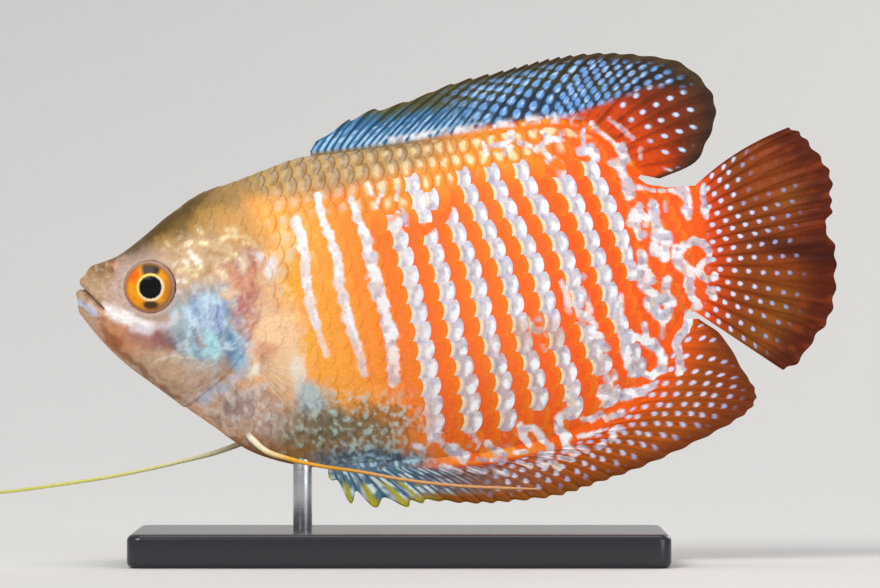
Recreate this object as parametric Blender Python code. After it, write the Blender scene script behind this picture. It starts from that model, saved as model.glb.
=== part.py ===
"""Dwarf gourami: a male fish, life size, held over a plain display stand.

The tables are in millimetres in the fish's own frame: x runs back from the lower lip, z runs up from
the level of the mouth and y to the fish's right. The empty "fish" carries every piece of the animal to
its place over the stand. The origin is the centre of the base's underside.
"""

import math

import bmesh
import bpy
import numpy as np

MM = 0.001

# Driving dimensions of the fish, which is 80 mm from lip to tail tip
GAP = 0.3
EYE_RADIUS = 2.75
EYE_DEPTH = 1.35
FEELER_ROOT = 0.45
FEELER_THREAD = 0.26
FEELER_TIP = 0.15
FIN_ROOT = 0.4
FIN_EDGE = 0.25
RAY_HEIGHT = 0.14
PECTORAL_LENGTH = 9.2

# Driving dimensions of the stand
BASE_LENGTH = 56.0
BASE_WIDTH = 30.0
BASE_THICKNESS = 3.5
BASE_CORNER = 0.6
ROD_RADIUS = 1.0
ROD_HOLE = ROD_RADIUS + GAP
ROD_SUNK = 2.2
ROD_IN_BELLY = 4.0
FISH_X = -34.2
FISH_Z = 28.1
ROD_X = 24.0

# Stations from the lips to the root of the tail: top x and z, belly x and z, how far the station bows
# back between them, half width, and how much the belly narrows to a keel
STATIONS = np.array([
    (1.0, 1.6, 0.6, -1.9, -0.3, 0.00, 0.0),
    (1.7, 2.9, 1.3, -2.8, -0.1, 1.55, 0.0),
    (2.9, 3.4, 2.5, -4.3, 0.0, 2.60, 0.0),
    (4.8, 4.2, 4.0, -5.9, 0.2, 3.40, 0.1),
    (7.3, 6.1, 5.9, -7.6, 0.8, 4.15, 0.1),
    (10.1, 8.5, 7.8, -9.0, 2.1, 4.70, 0.2),
    (13.2, 10.7, 9.7, -10.4, 3.8, 5.15, 0.3),
    (16.9, 12.0, 11.6, -11.8, 5.9, 5.45, 0.4),
    (20.2, 13.3, 14.5, -13.8, 5.2, 5.70, 0.5),
    (23.7, 14.5, 18.5, -16.5, 3.8, 5.80, 0.6),
    (28.4, 15.1, 23.7, -18.0, 1.9, 5.65, 0.7),
    (33.1, 15.7, 28.9, -18.1, 0.7, 5.35, 0.8),
    (38.4, 16.5, 35.2, -17.8, 0.3, 4.90, 0.9),
    (44.7, 17.3, 42.4, -17.3, 0.0, 4.25, 1.0),
    (49.9, 17.9, 48.9, -16.1, 0.0, 3.65, 1.0),
    (53.6, 17.3, 54.1, -14.3, 0.0, 3.15, 1.0),
    (56.4, 15.5, 58.3, -11.1, 0.0, 2.75, 1.0),
    (58.5, 13.1, 61.6, -6.5, 0.2, 2.30, 0.8),
    (60.0, 11.8, 64.2, -2.0, 0.3, 1.90, 0.5),
    (62.5, 11.4, 64.6, -1.8, 0.4, 1.50, 0.2),
    (64.8, 11.6, 64.8, -1.9, 0.5, 1.20, 0.0),
])
GILL_STATION = 7.0
STALK_STATION = 18.0
LAST_STATION = len(STATIONS) - 1.0
WIDEST = 0.42
BOW_SAG = 1.35
FLANK_STEPS = 20

# The margins of the fins: share of the root passed, margin x and z, and the bow of the rays
DORSAL_MARGIN = np.array([
    (0.00, 25.4, 16.1, 0.0),
    (0.04, 27.7, 17.7, 0.1),
    (0.10, 30.2, 19.1, 0.2),
    (0.19, 34.8, 20.3, 0.3),
    (0.30, 40.0, 22.3, 0.4),
    (0.41, 45.2, 23.6, 0.5),
    (0.52, 50.5, 24.9, 0.6),
    (0.61, 55.1, 25.4, 0.7),
    (0.68, 59.4, 25.2, 0.8),
    (0.74, 63.7, 24.4, 0.8),
    (0.80, 66.6, 21.8, 0.6),
    (0.86, 67.4, 19.2, 0.4),
    (0.92, 66.5, 16.2, 0.2),
    (0.97, 64.6, 13.5, 0.0),
    (1.00, 61.4, 12.2, 0.0),
])
ANAL_MARGIN = np.array([
    (0.00, 26.7, -19.1, 0.0),
    (0.03, 28.9, -21.8, 0.1),
    (0.06, 31.4, -22.3, 0.1),
    (0.09, 34.7, -22.3, 0.2),
    (0.14, 37.3, -21.7, 0.2),
    (0.21, 41.7, -21.9, 0.3),
    (0.29, 45.9, -21.7, 0.3),
    (0.37, 50.8, -21.1, 0.4),
    (0.46, 55.1, -19.7, 0.5),
    (0.54, 59.8, -18.0, 0.6),
    (0.61, 64.6, -15.8, 0.7),
    (0.68, 68.8, -13.6, 0.7),
    (0.75, 71.1, -11.9, 0.6),
    (0.82, 71.6, -10.2, 0.5),
    (0.89, 70.3, -8.0, 0.3),
    (0.95, 67.9, -4.2, 0.1),
    (1.00, 65.5, -2.5, 0.0),
])
TAIL_MARGIN = np.array([
    (0.00, 75.0, 17.6, 0.6),
    (0.07, 76.2, 17.1, 0.6),
    (0.14, 77.3, 15.9, 0.5),
    (0.21, 78.7, 14.1, 0.4),
    (0.29, 79.6, 12.2, 0.3),
    (0.36, 79.5, 10.3, 0.2),
    (0.43, 79.6, 8.8, 0.1),
    (0.50, 78.9, 7.2, 0.0),
    (0.57, 79.9, 5.0, 0.0),
    (0.64, 80.0, 2.6, 0.0),
    (0.71, 79.9, -0.1, -0.1),
    (0.79, 79.2, -2.7, -0.1),
    (0.86, 77.8, -4.6, -0.1),
    (0.93, 76.1, -7.1, 0.0),
    (1.00, 74.4, -7.9, 0.0),
])

# The mouth, nostril and eye on the side of the head: x, z
LIP_NOTCH = (0.8, 0.7)
MOUTH_MIDDLE = (1.7, -0.4)
MOUTH_CORNER = (3.2, -1.6)
UPPER_LIP = (1.25, 1.2)
LOWER_LIP = (0.62, 0.0)
UPPER_LIP_RADIUS = 0.5
LOWER_LIP_RADIUS = 0.6
LIP_CORNER_RADIUS = 0.3
MOUTH_HALF_WIDTH = 2.3
MOUTH_OPENING = 0.34
NOSTRIL = (4.0, 2.6)
EYE = (8.2, 0.8)
EYE_TURN = math.radians(11)

# The paired fins: x, z of the root on the flank
PECTORAL_ROOT = (19.9, -7.2)
FEELER_ROOT_AT = (18.6, -14.9)

# Where each feeler runs, by its own points: x, y out from the middle, z
LEFT_FEELER = [
    (20.3, -3.6, -16.3),
    (22.7, -4.1, -17.1),
    (25.8, -4.3, -17.8),
    (29.9, -4.3, -18.4),
    (34.3, -4.4, -19.2),
    (40.5, -4.7, -19.9),
    (44.7, -5.0, -20.1),
    (48.6, -5.4, -20.2),
]
RIGHT_FEELER = [
    (14.8, 4.6, -16.6),
    (11.1, 5.6, -17.6),
    (3.8, 7.0, -19.2),
    (-2.5, 7.8, -20.2),
    (-7.8, 8.4, -20.9),
    (-12.4, 8.8, -21.2),
]


# Curves and faces

def spline(values, at, knots=None):
    """A smooth curve through rows of values at their knots, with each slope taken from the neighbours."""
    values = np.asarray(values, float)
    if knots is None:
        knots = np.arange(len(values))
    at = np.clip(np.atleast_1d(at), knots[0], knots[-1])
    slope = np.gradient(values, knots, axis=0)
    cell = np.clip(np.searchsorted(knots, at, side="right") - 1, 0, len(values) - 2)
    width = (knots[cell + 1] - knots[cell])[:, None]
    f = (at - knots[cell])[:, None] / width
    start = (1 + 2 * f) * (1 - f) ** 2 * values[cell] + f * (1 - f) ** 2 * width * slope[cell]
    end = f * f * (3 - 2 * f) * values[cell + 1] - f * f * (1 - f) * width * slope[cell + 1]
    return start + end


def step_up(x, low, high):
    """0 below low, 1 above high and a smooth rise between."""
    f = np.clip((x - low) / (high - low), 0, 1)
    return f * f * (3 - 2 * f)


def grid_faces(rows, columns, first=0):
    """Pairs of triangles over a grid of points, all split along the same diagonal."""
    corner = first + (np.arange(rows - 1)[:, None] * columns + np.arange(columns - 1)).ravel()
    one = np.stack([corner, corner + 1, corner + columns + 1], 1)
    two = np.stack([corner, corner + columns + 1, corner + columns], 1)
    return np.concatenate([one, two])


def strip_faces(a, b):
    """Pairs of triangles that join two rows of points."""
    one = np.stack([a[:-1], a[1:], b[1:]], 1)
    two = np.stack([a[:-1], b[1:], b[:-1]], 1)
    return np.concatenate([one, two])


def closed_mesh(name, points, faces):
    """A mesh from points in millimetres, with doubled points merged and its faces turned outward."""
    mesh = bpy.data.meshes.new(name)
    mesh.from_pydata(np.asarray(points, float) * MM, [], np.asarray(faces).tolist())
    shape = bmesh.new()
    shape.from_mesh(mesh)
    bmesh.ops.remove_doubles(shape, verts=shape.verts, dist=0.002 * MM)
    bmesh.ops.recalc_face_normals(shape, faces=shape.faces)
    shape.to_mesh(mesh)
    shape.free()
    return mesh


# Objects, materials and cuts

def material(name, colour, roughness, metallic=0.0):
    """A plain finish, from the colour as red, green and blue."""
    made = bpy.data.materials.new(name)
    made.use_nodes = True
    shader = made.node_tree.nodes["Principled BSDF"]
    shader.inputs["Base Color"].default_value = (*colour, 1)
    shader.inputs["Roughness"].default_value = roughness
    shader.inputs["Metallic"].default_value = metallic
    made.diffuse_color = (*colour, 1)
    return made


def placed(name, mesh, parent=None, finish=None):
    """An object for a mesh, shaded smooth."""
    made = bpy.data.objects.new(name, mesh)
    bpy.context.collection.objects.link(made)
    made.parent = parent
    if finish:
        mesh.materials.append(finish)
    mesh.shade_smooth()
    return made


def ball(name, radii, segments=24, rings=12):
    """An ellipsoid mesh with the given radii in millimetres."""
    mesh = bpy.data.meshes.new(name)
    shape = bmesh.new()
    bmesh.ops.create_uvsphere(shape, u_segments=segments, v_segments=rings, radius=1)
    bmesh.ops.scale(shape, vec=[r * MM for r in radii], verts=shape.verts)
    shape.to_mesh(mesh)
    shape.free()
    return mesh


def cylinder(name, radius, length, sides=24):
    """A closed cylinder along z, centred."""
    mesh = bpy.data.meshes.new(name)
    shape = bmesh.new()
    bmesh.ops.create_cone(
        shape, cap_ends=True, segments=sides, radius1=radius * MM, radius2=radius * MM, depth=length * MM
    )
    shape.to_mesh(mesh)
    shape.free()
    return mesh


def ring(name, radius, tube_radius, segments=20, sides=6):
    """A torus about y."""
    turn = np.linspace(0, 2 * math.pi, segments + 1)[:, None]
    round_tube = np.linspace(0, 2 * math.pi, sides + 1)[None, :]
    out = radius + tube_radius * np.cos(round_tube)
    y = tube_radius * np.sin(round_tube) + 0 * turn
    points = np.stack([out * np.cos(turn), y, out * np.sin(turn)], -1)
    return closed_mesh(name, points.reshape(-1, 3), grid_faces(segments + 1, sides + 1))


def swept(name, path, radii, sides=8):
    """A tapered round tube through points in millimetres, with capped ends."""
    curve = bpy.data.curves.new(name, "CURVE")
    curve.dimensions = "3D"
    curve.bevel_depth = MM
    curve.bevel_resolution = sides // 2 - 2
    curve.use_fill_caps = True
    line = curve.splines.new("POLY")
    line.points.add(len(path) - 1)
    for point, place, radius in zip(line.points, path, radii):
        point.co = (*(float(c) * MM for c in place), 1)
        point.radius = float(radius)
    made = bpy.data.objects.new(name, curve)
    bpy.context.collection.objects.link(made)
    return made


def as_mesh(made):
    """The object's evaluated shape as a plain mesh, keeping only its largest closed surface."""
    bpy.context.view_layer.update()
    seen = made.evaluated_get(bpy.context.evaluated_depsgraph_get())
    mesh = bpy.data.meshes.new_from_object(seen)
    shape = bmesh.new()
    shape.from_mesh(mesh)
    bmesh.ops.remove_doubles(shape, verts=shape.verts, dist=0.001 * MM)
    left = set(shape.verts)
    islands = []
    while left:
        island = {left.pop()}
        edge = list(island)
        while edge:
            near = {e.other_vert(v) for v in edge for e in v.link_edges}
            edge = list(near - island)
            island |= near
        left -= island
        islands.append(island)
    largest = max(islands, key=len)
    bmesh.ops.delete(shape, geom=[v for v in shape.verts if v not in largest], context="VERTS")
    bmesh.ops.triangulate(shape, faces=shape.faces)
    shape.to_mesh(mesh)
    shape.free()
    return mesh


def combine(made, others, operation):
    """Join the other pieces to an object, or cut them from it, by one Boolean, and remove them."""
    group = bpy.data.collections.new(made.name + "_" + operation.lower())
    for other in others:
        solid = bpy.data.objects.new(other.name + "_solid", as_mesh(other))
        solid.matrix_world = other.matrix_world
        group.objects.link(solid)
    boolean = made.modifiers.new(operation.lower(), "BOOLEAN")
    boolean.operation = operation
    boolean.operand_type = "COLLECTION"
    boolean.collection = group
    mesh = as_mesh(made)
    made.modifiers.clear()
    made.data = mesh
    for solid in list(group.objects):
        bpy.data.objects.remove(solid)
    bpy.data.collections.remove(group)
    for other in others:
        bpy.data.objects.remove(other)


# The body's own surface

def body_flank(u, share):
    """Points of the left flank: u along the stations, share from the back (0) to the belly (1).

    Each station is a line from back to belly that bows towards the tail. Across it the half width
    falls off like an ellipse, and below the widest level it narrows more, to a keel.
    """
    row = spline(np.column_stack([STATIONS[:, :5], STATIONS[:, 5] ** 2, STATIONS[:, 6]]), u)
    half = np.sqrt(np.maximum(row[:, 5:6], 0))
    keel = np.clip(row[:, 6:7], 0, 1)
    share = np.atleast_1d(share)[None, :]
    sag = share ** BOW_SAG
    bow = row[:, 4:5] * 4 * sag * (1 - sag)
    x = row[:, 0:1] + (row[:, 2:3] - row[:, 0:1]) * share + bow
    z = row[:, 1:2] + (row[:, 3:4] - row[:, 1:2]) * share
    above = 1 - np.clip((WIDEST - share) / WIDEST, 0, 1) ** 2
    below = 1 - np.clip((share - WIDEST) / (1 - WIDEST), 0, 1) ** (2 - 0.35 * keel)
    fall = np.where(share < WIDEST, above ** 0.55, below ** (0.5 + 0.2 * keel))
    u = np.atleast_1d(u)[:, None]
    cover = 0.35 * step_up(u, 4.4, GILL_STATION) * step_up(share, 0.16, 0.34) * (u < GILL_STATION)
    cheek = 0.16 * step_up(u, 5.3, 5.1) * step_up(u, 2.5, 4.5) * step_up(share, 0.4, 0.55)
    proud = (cover + cheek) * step_up(share, 1.0, 0.85)
    return np.stack([x, -(half * fall + proud), z], -1)


def body_length(name, stations, front_open, parent, finish):
    """One length of the body between two stations, mirrored to both flanks and closed at its cut ends."""
    share = (1 - np.cos(math.pi * np.linspace(0, 1, FLANK_STEPS + 1))) / 2
    left = body_flank(stations, share)
    rows, columns = left.shape[:2]
    right = left * (1, -1, 1)
    points = np.concatenate([left.reshape(-1, 3), right.reshape(-1, 3)])
    faces = [grid_faces(rows, columns), grid_faces(rows, columns, rows * columns)[:, ::-1]]
    ends = [rows - 1] if front_open else [0, rows - 1]
    for end in ends:
        edge = end * columns + np.arange(columns)
        faces.append(strip_faces(edge, edge + rows * columns))
    faces = np.concatenate(faces)
    flat = np.all(np.abs(points[faces][..., 1]) < 1e-6, axis=1)
    mesh = closed_mesh(name, points, faces[~flat])
    tidy = bmesh.new()
    tidy.from_mesh(mesh)
    bmesh.ops.dissolve_degenerate(tidy, edges=tidy.edges, dist=0.001 * MM)
    bmesh.ops.recalc_face_normals(tidy, faces=tidy.faces)
    bmesh.ops.triangulate(tidy, faces=tidy.faces)
    tidy.to_mesh(mesh)
    tidy.free()
    return placed(name, mesh, parent, finish)


def flank_y(x, z):
    """How far the flank stands out from the middle at a place seen from the side."""
    stations = np.linspace(0.5, LAST_STATION, 400)
    shares = np.linspace(0.01, 0.99, 200)
    points = body_flank(stations, shares).reshape(-1, 3)
    nearest = np.argmin((points[:, 0] - x) ** 2 + (points[:, 2] - z) ** 2)
    return -points[nearest, 1]


# The head

def mouth_line():
    """The line between the lips, seen from the side, from well in front of them back to the corner."""
    ahead = (LIP_NOTCH[0] - 1.8, LIP_NOTCH[1] + 1.8)
    return np.array([ahead, LIP_NOTCH, MOUTH_MIDDLE, MOUTH_CORNER])


def mouth_cutter():
    """A thin bent sheet across the snout, along the line between the lips."""
    line = mouth_line()
    ahead = np.gradient(line, axis=0)
    ahead /= np.linalg.norm(ahead, axis=1)[:, None]
    normal = np.stack([-ahead[:, 1], ahead[:, 0]], 1)
    upper = line + normal * MOUTH_OPENING / 2
    lower = line - normal * MOUTH_OPENING / 2
    outline = np.concatenate([upper, lower[::-1]])
    wide = MOUTH_HALF_WIDTH + 2
    near = np.stack([outline[:, 0], np.full(len(outline), -wide), outline[:, 1]], 1)
    far = near * (1, -1, 1)
    count = len(line)
    points = np.concatenate([near, far])
    index = np.arange(2 * count)
    turn = np.append(index, 0)
    side = strip_faces(index[:count], index[::-1][:count])
    faces = [side, side + 2 * count, strip_faces(turn, turn + 2 * count)]
    return placed("mouth_cut", closed_mesh("mouth_cut", points, np.concatenate(faces)))


def lip(name, front, corner, radius):
    """A lip bent round the snout from one corner of the mouth to the other."""
    turn = np.linspace(-0.5, 0.5, 15) * math.pi
    back = (1 - np.cos(turn))[:, None]
    side = np.array(front) + (np.array(corner) - front) * back
    path = np.stack([side[:, 0], MOUTH_HALF_WIDTH * np.sin(turn), side[:, 1]], 1)
    radii = LIP_CORNER_RADIUS + (radius - LIP_CORNER_RADIUS) * np.cos(turn)
    return swept(name, path, radii, 8)


def on_flank(made, place, side, out=0.0, turn=0.0):
    """Put an object on the flank at x, z, turned towards the snout."""
    x, z = place
    made.location = (x * MM, side * (flank_y(x, z) + out) * MM, z * MM)
    made.rotation_euler = (0, 0, side * turn)
    return made


def build_head(fish, finish):
    """The head with lips, mouth, nostrils, rims round the eyes and raised gill covers."""
    nose = np.array([0, 0.05, 0.18, 0.38, 0.62, 0.85])
    cheek = np.arange(1.2, 5.0, 0.4)
    covers = np.array([5.1, 5.3, 5.6, 5.95, 6.3, 6.65, GILL_STATION - 0.06])
    head = body_length("head", np.concatenate([nose, cheek, covers]), True, fish, finish)
    corner = np.array(MOUTH_CORNER)
    joins = [
        lip("upper_lip", UPPER_LIP, corner + (0, 0.35), UPPER_LIP_RADIUS),
        lip("lower_lip", LOWER_LIP, corner - (0.1, 0.35), LOWER_LIP_RADIUS),
    ]
    cuts = [mouth_cutter()]
    for side in (-1, 1):
        rim = placed("rim", ring("rim", EYE_RADIUS + 0.15, 0.34))
        joins.append(on_flank(rim, EYE, side, -0.12, EYE_TURN))
        socket = placed("socket", ball("socket", (EYE_RADIUS + GAP, EYE_DEPTH + GAP, EYE_RADIUS + GAP)))
        cuts.append(on_flank(socket, EYE, side, -0.5, EYE_TURN))
        nostril = placed("nostril", ball("nostril", (0.34, 0.6, 0.28), 12, 8))
        cuts.append(on_flank(nostril, NOSTRIL, side, 0.0, math.radians(30)))
    combine(head, joins, "UNION")
    combine(head, cuts, "DIFFERENCE")


def build_eyes(fish, finish):
    """Two flattened eyeballs in their sockets."""
    for name, side in (("eye_left", -1), ("eye_right", 1)):
        eye = placed(name, ball(name, (EYE_RADIUS, EYE_DEPTH, EYE_RADIUS)), fish, finish)
        on_flank(eye, EYE, side, -0.5, EYE_TURN)


# The trunk and tail stalk

def build_trunk(fish, finish):
    """The trunk from the gill covers to the tail stalk, with a blind hole for the stand's rod."""
    stations = np.linspace(GILL_STATION + 0.06, STALK_STATION - 0.12, 27)
    trunk = body_length("trunk", stations, False, fish, finish)
    low = spline(STATIONS[:, 2:4], np.linspace(8, 13, 60))
    belly = np.interp(ROD_X, low[:, 0], low[:, 1])
    depth = ROD_IN_BELLY + GAP
    hole = placed("rod_hole", cylinder("rod_hole", ROD_HOLE, 2 * depth))
    hole.location = (ROD_X * MM, 0, belly * MM)
    combine(trunk, [hole], "DIFFERENCE")
    return belly


def build_stalk(fish, finish):
    """The short tail stalk between the dorsal and anal fins."""
    stations = np.linspace(STALK_STATION + 0.12, LAST_STATION, 6)
    body_length("tail_stalk", stations, False, fish, finish)


# The fins

def two_faced(name, near, far, parent, finish):
    """A thin web from two grids of points, split alike on both faces and closed round its edge."""
    columns, rows = near.shape[:2]
    count = columns * rows
    index = np.arange(count).reshape(columns, rows)
    around = np.concatenate([index[:, 0], index[-1, 1:], index[::-1, -1][1:], index[0, ::-1][1:]])
    faces = [grid_faces(columns, rows), grid_faces(columns, rows, count)[:, ::-1]]
    faces.append(strip_faces(around, around + count))
    points = np.concatenate([near.reshape(-1, 3), far.reshape(-1, 3)])
    return placed(name, closed_mesh(name, points, np.concatenate(faces)), parent, finish)


def fin(name, root, margin, rows, wave, parent, finish, notch, deep=0.0):
    """A fin from its root line to its margin, with its rays as ridges in both faces.

    root has a point for each column, x and z, and margin a row for each column: x, z and the bow of
    the rays. Every second column is a ray. Between rays the margin is notched by a share of the
    fin's height that falls from the first value of notch to the second, and deeper over the first
    rays by deep. The fin thins from its root to its margin and sways sideways by wave.
    """
    columns = len(root)
    along = np.linspace(0, 1, columns)[:, None]
    ray = (np.arange(columns) % 2 == 0)[:, None]
    sink = notch[0] + (notch[1] - notch[0]) * step_up(along, 0.3, 0.8)
    sink = np.where(ray, 0, sink + deep * np.exp(-(along / 0.09) ** 2))
    out = np.linspace(0, 1, rows + 1)[None, :] * (1 - sink)
    reach = margin[:, None, :2] - root[:, None, :]
    across = np.stack([-reach[..., 1], reach[..., 0]], -1)
    across /= np.linalg.norm(across, axis=-1, keepdims=True)
    place = root[:, None, :] + reach * out[..., None]
    place = place + across * (margin[:, None, 2:3] * 4 * (out * (1 - out))[..., None])
    sway = wave(along, out)
    half = FIN_ROOT + (FIN_EDGE - FIN_ROOT) * step_up(out, 0, 0.6)
    half = (half + RAY_HEIGHT * ray * (1 - 0.5 * out)) * (1 - 0.4 * step_up(out, 0.8, 1))
    near = np.stack([place[..., 0], sway - half, place[..., 1]], -1)
    far = np.stack([place[..., 0], sway + half, place[..., 1]], -1)
    return two_faced(name, near, far, parent, finish)


def outline_root(top, first, last, columns, spiny_share, spiny_columns):
    """Root points a gap off the back or belly, between two x places, closer together at the rear.

    The spiny part takes spiny_share of the root's length. Each point's share of the length comes
    with it.
    """
    line = spline(STATIONS[:, 0:2] if top else STATIONS[:, 2:4], np.linspace(8, LAST_STATION, 600))
    line = line[(line[:, 0] >= first) & (line[:, 0] <= last)]
    ahead = np.gradient(line, axis=0)
    ahead /= np.linalg.norm(ahead, axis=1)[:, None]
    normal = np.stack([-ahead[:, 1], ahead[:, 0]], 1) * (1 if top else -1)
    line = line + normal * GAP * 1.15
    length = np.append(0, np.cumsum(np.linalg.norm(np.diff(line, axis=0), axis=1)))
    share = np.interp(np.arange(columns), [0, spiny_columns, columns - 1], [0, spiny_share, 1])
    at = share * length[-1]
    return np.stack([np.interp(at, length, line[:, 0]), np.interp(at, length, line[:, 1])], 1), share


def build_dorsal(fish, finish):
    """The dorsal fin: 16 spines, then 8 soft rays in a rounded lobe."""
    spines, soft = 16, 8
    root, share = outline_root(True, 24.8, 59.2, 2 * (spines + soft) - 1, 0.7, 2 * spines)
    margin = spline(DORSAL_MARGIN[:, 1:], share, DORSAL_MARGIN[:, 0])
    wave = lambda t, s: 0.5 * s * s * np.sin(9 * t + 0.6) * t
    fin("dorsal_fin", root, margin, 5, wave, fish, finish, (0.06, 0.015), 0.2)


def build_anal(fish, finish):
    """The anal fin: 17 spines, the first few standing out as points, then 15 soft rays."""
    spines, soft = 17, 15
    root, share = outline_root(False, 26.6, 64.0, 2 * (spines + soft) - 1, 0.6, 2 * spines)
    margin = spline(ANAL_MARGIN[:, 1:], share, ANAL_MARGIN[:, 0])
    wave = lambda t, s: 0.5 * s * s * np.sin(8 * t + 2) * t
    fin("anal_fin", root, margin, 5, wave, fish, finish, (0.04, 0.015), 0.5)


def build_tail(fish, finish):
    """The tail fin, a broad fan with a shallow notch at the middle of its margin."""
    rays = 17
    share = np.linspace(0.01, 0.99, 2 * rays - 1)
    root = body_flank(LAST_STATION, share)[0][:, (0, 2)] + (GAP * 1.2, 0)
    margin = spline(TAIL_MARGIN[:, 1:], np.linspace(0, 1, len(root)), TAIL_MARGIN[:, 0])
    wave = lambda t, s: 0.6 * s * s * np.sin(7 * t + 1)
    fin("tail_fin", root, margin, 8, wave, fish, finish, (0.02, 0.02))


def build_pectorals(fish, finish):
    """A pair of nine-rayed fans held out from the flank behind the gill covers."""
    rays, rows = 9, 6
    along = np.linspace(0, 1, 2 * rays - 1)[:, None]
    out = np.linspace(0, 1, rows + 1)[None, :]
    ray = (np.arange(len(along)) % 2 == 0)[:, None]
    half = 0.26 + RAY_HEIGHT * ray * (1 - 0.6 * out) - 0.12 * step_up(out, 0.7, 1)
    back = 0.50 - 0.06 * along
    down = 0.16 - 0.78 * along
    aside = np.sqrt(1 - back ** 2 - 0.4 * down ** 2)
    x, z = PECTORAL_ROOT
    stem = flank_y(x, z) + GAP * 1.6
    reach = (PECTORAL_LENGTH - 2.6 * along - (2 * along - 1) ** 2) * out
    px = x + 0.14 * (1 - 2 * along) + reach * back + 0.5 * out ** 2
    pz = z + 1.05 * (1 - 2 * along) + reach * down
    py = stem + reach * aside - 0.9 * out ** 2
    for name, side in (("pectoral_left", -1), ("pectoral_right", 1)):
        near = np.stack([px - half, side * py, pz], -1)
        far = np.stack([px + half, side * py, pz], -1)
        two_faced(name, near, far, fish, finish)


def build_feelers(fish, finish):
    """The pelvic fins, each one long thread: the left sweeps back and the right reaches forward."""
    x, z = FEELER_ROOT_AT
    for name, side, route in (("feeler_left", -1, LEFT_FEELER), ("feeler_right", 1, RIGHT_FEELER)):
        start = (x, side * (flank_y(x, z) + FEELER_ROOT + GAP), z)
        bends = np.array([start, *route])
        length = np.append(0, np.cumsum(np.linalg.norm(np.diff(bends, axis=0), axis=1)))
        path = spline(bends, np.linspace(0, length[-1], 34), length)
        along = np.linspace(0, 1, len(path))
        radii = np.interp(along, (0, 0.3, 0.9, 1), (FEELER_ROOT, FEELER_THREAD, FEELER_THREAD, FEELER_TIP))
        tube = swept(name + "_tube", path, radii, 8)
        placed(name, as_mesh(tube), fish, finish)
        bpy.data.objects.remove(tube)


# The stand

def build_stand(belly, base_finish, rod_finish):
    """A flat base with a blind hole, and one rod from it up into the belly."""
    mesh = bpy.data.meshes.new("stand_base")
    shape = bmesh.new()
    bmesh.ops.create_cube(shape, size=1)
    bmesh.ops.scale(
        shape, vec=(BASE_LENGTH * MM, BASE_WIDTH * MM, BASE_THICKNESS * MM), verts=shape.verts
    )
    bmesh.ops.bevel(
        shape, geom=shape.edges, offset=BASE_CORNER * MM, segments=2, affect="EDGES", profile=0.5
    )
    shape.to_mesh(mesh)
    shape.free()
    base = placed("stand_base", mesh, None, base_finish)
    base.location.z = BASE_THICKNESS / 2 * MM
    mesh.set_sharp_from_angle(angle=math.radians(30))
    rod_x = ROD_X + FISH_X
    hole = placed("base_hole", cylinder("base_hole", ROD_HOLE, 2 * (ROD_SUNK + GAP)))
    hole.location = (rod_x * MM, 0, BASE_THICKNESS * MM)
    combine(base, [hole], "DIFFERENCE")
    bottom = BASE_THICKNESS - ROD_SUNK
    top = FISH_Z + belly + ROD_IN_BELLY
    rod = placed("stand_rod", cylinder("stand_rod", ROD_RADIUS, top - bottom), None, rod_finish)
    rod.location = (rod_x * MM, 0, (top + bottom) / 2 * MM)
    rod.data.set_sharp_from_angle(angle=math.radians(40))


def main():
    for old in list(bpy.data.objects):
        bpy.data.objects.remove(old)
    fish = bpy.data.objects.new("fish", None)
    bpy.context.collection.objects.link(fish)
    build_head(fish, material("head_skin", (0.52, 0.36, 0.22), 0.4))
    build_eyes(fish, material("iris", (0.75, 0.24, 0.02), 0.15))
    belly = build_trunk(fish, material("flank_scales", (0.85, 0.22, 0.03), 0.35))
    build_stalk(fish, material("stalk_scales", (0.8, 0.2, 0.04), 0.35))
    build_dorsal(fish, material("dorsal_web", (0.1, 0.25, 0.55), 0.4))
    build_anal(fish, material("anal_web", (0.55, 0.16, 0.03), 0.4))
    build_tail(fish, material("tail_web", (0.5, 0.12, 0.02), 0.4))
    build_pectorals(fish, material("clear_web", (0.7, 0.6, 0.5), 0.3))
    build_feelers(fish, material("feeler_skin", (0.8, 0.45, 0.12), 0.4))
    fish.location = (FISH_X * MM, 0, FISH_Z * MM)
    base_finish = material("base_acrylic", (0.03, 0.03, 0.035), 0.35)
    build_stand(belly, base_finish, material("rod_steel", (0.6, 0.6, 0.62), 0.25, 1.0))


main()
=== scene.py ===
"""The looks of a male dwarf gourami, life size on a plain display stand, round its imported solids.

Lengths are millimetres in the fish's own frame unless a name says otherwise: x runs back from the lower
lip, z up from the level of the mouth and y to the fish's right. The body's stations and the fins' margins
repeat the construction's own, and the fish is set in place by the solids of its eye.
"""

import math

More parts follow.
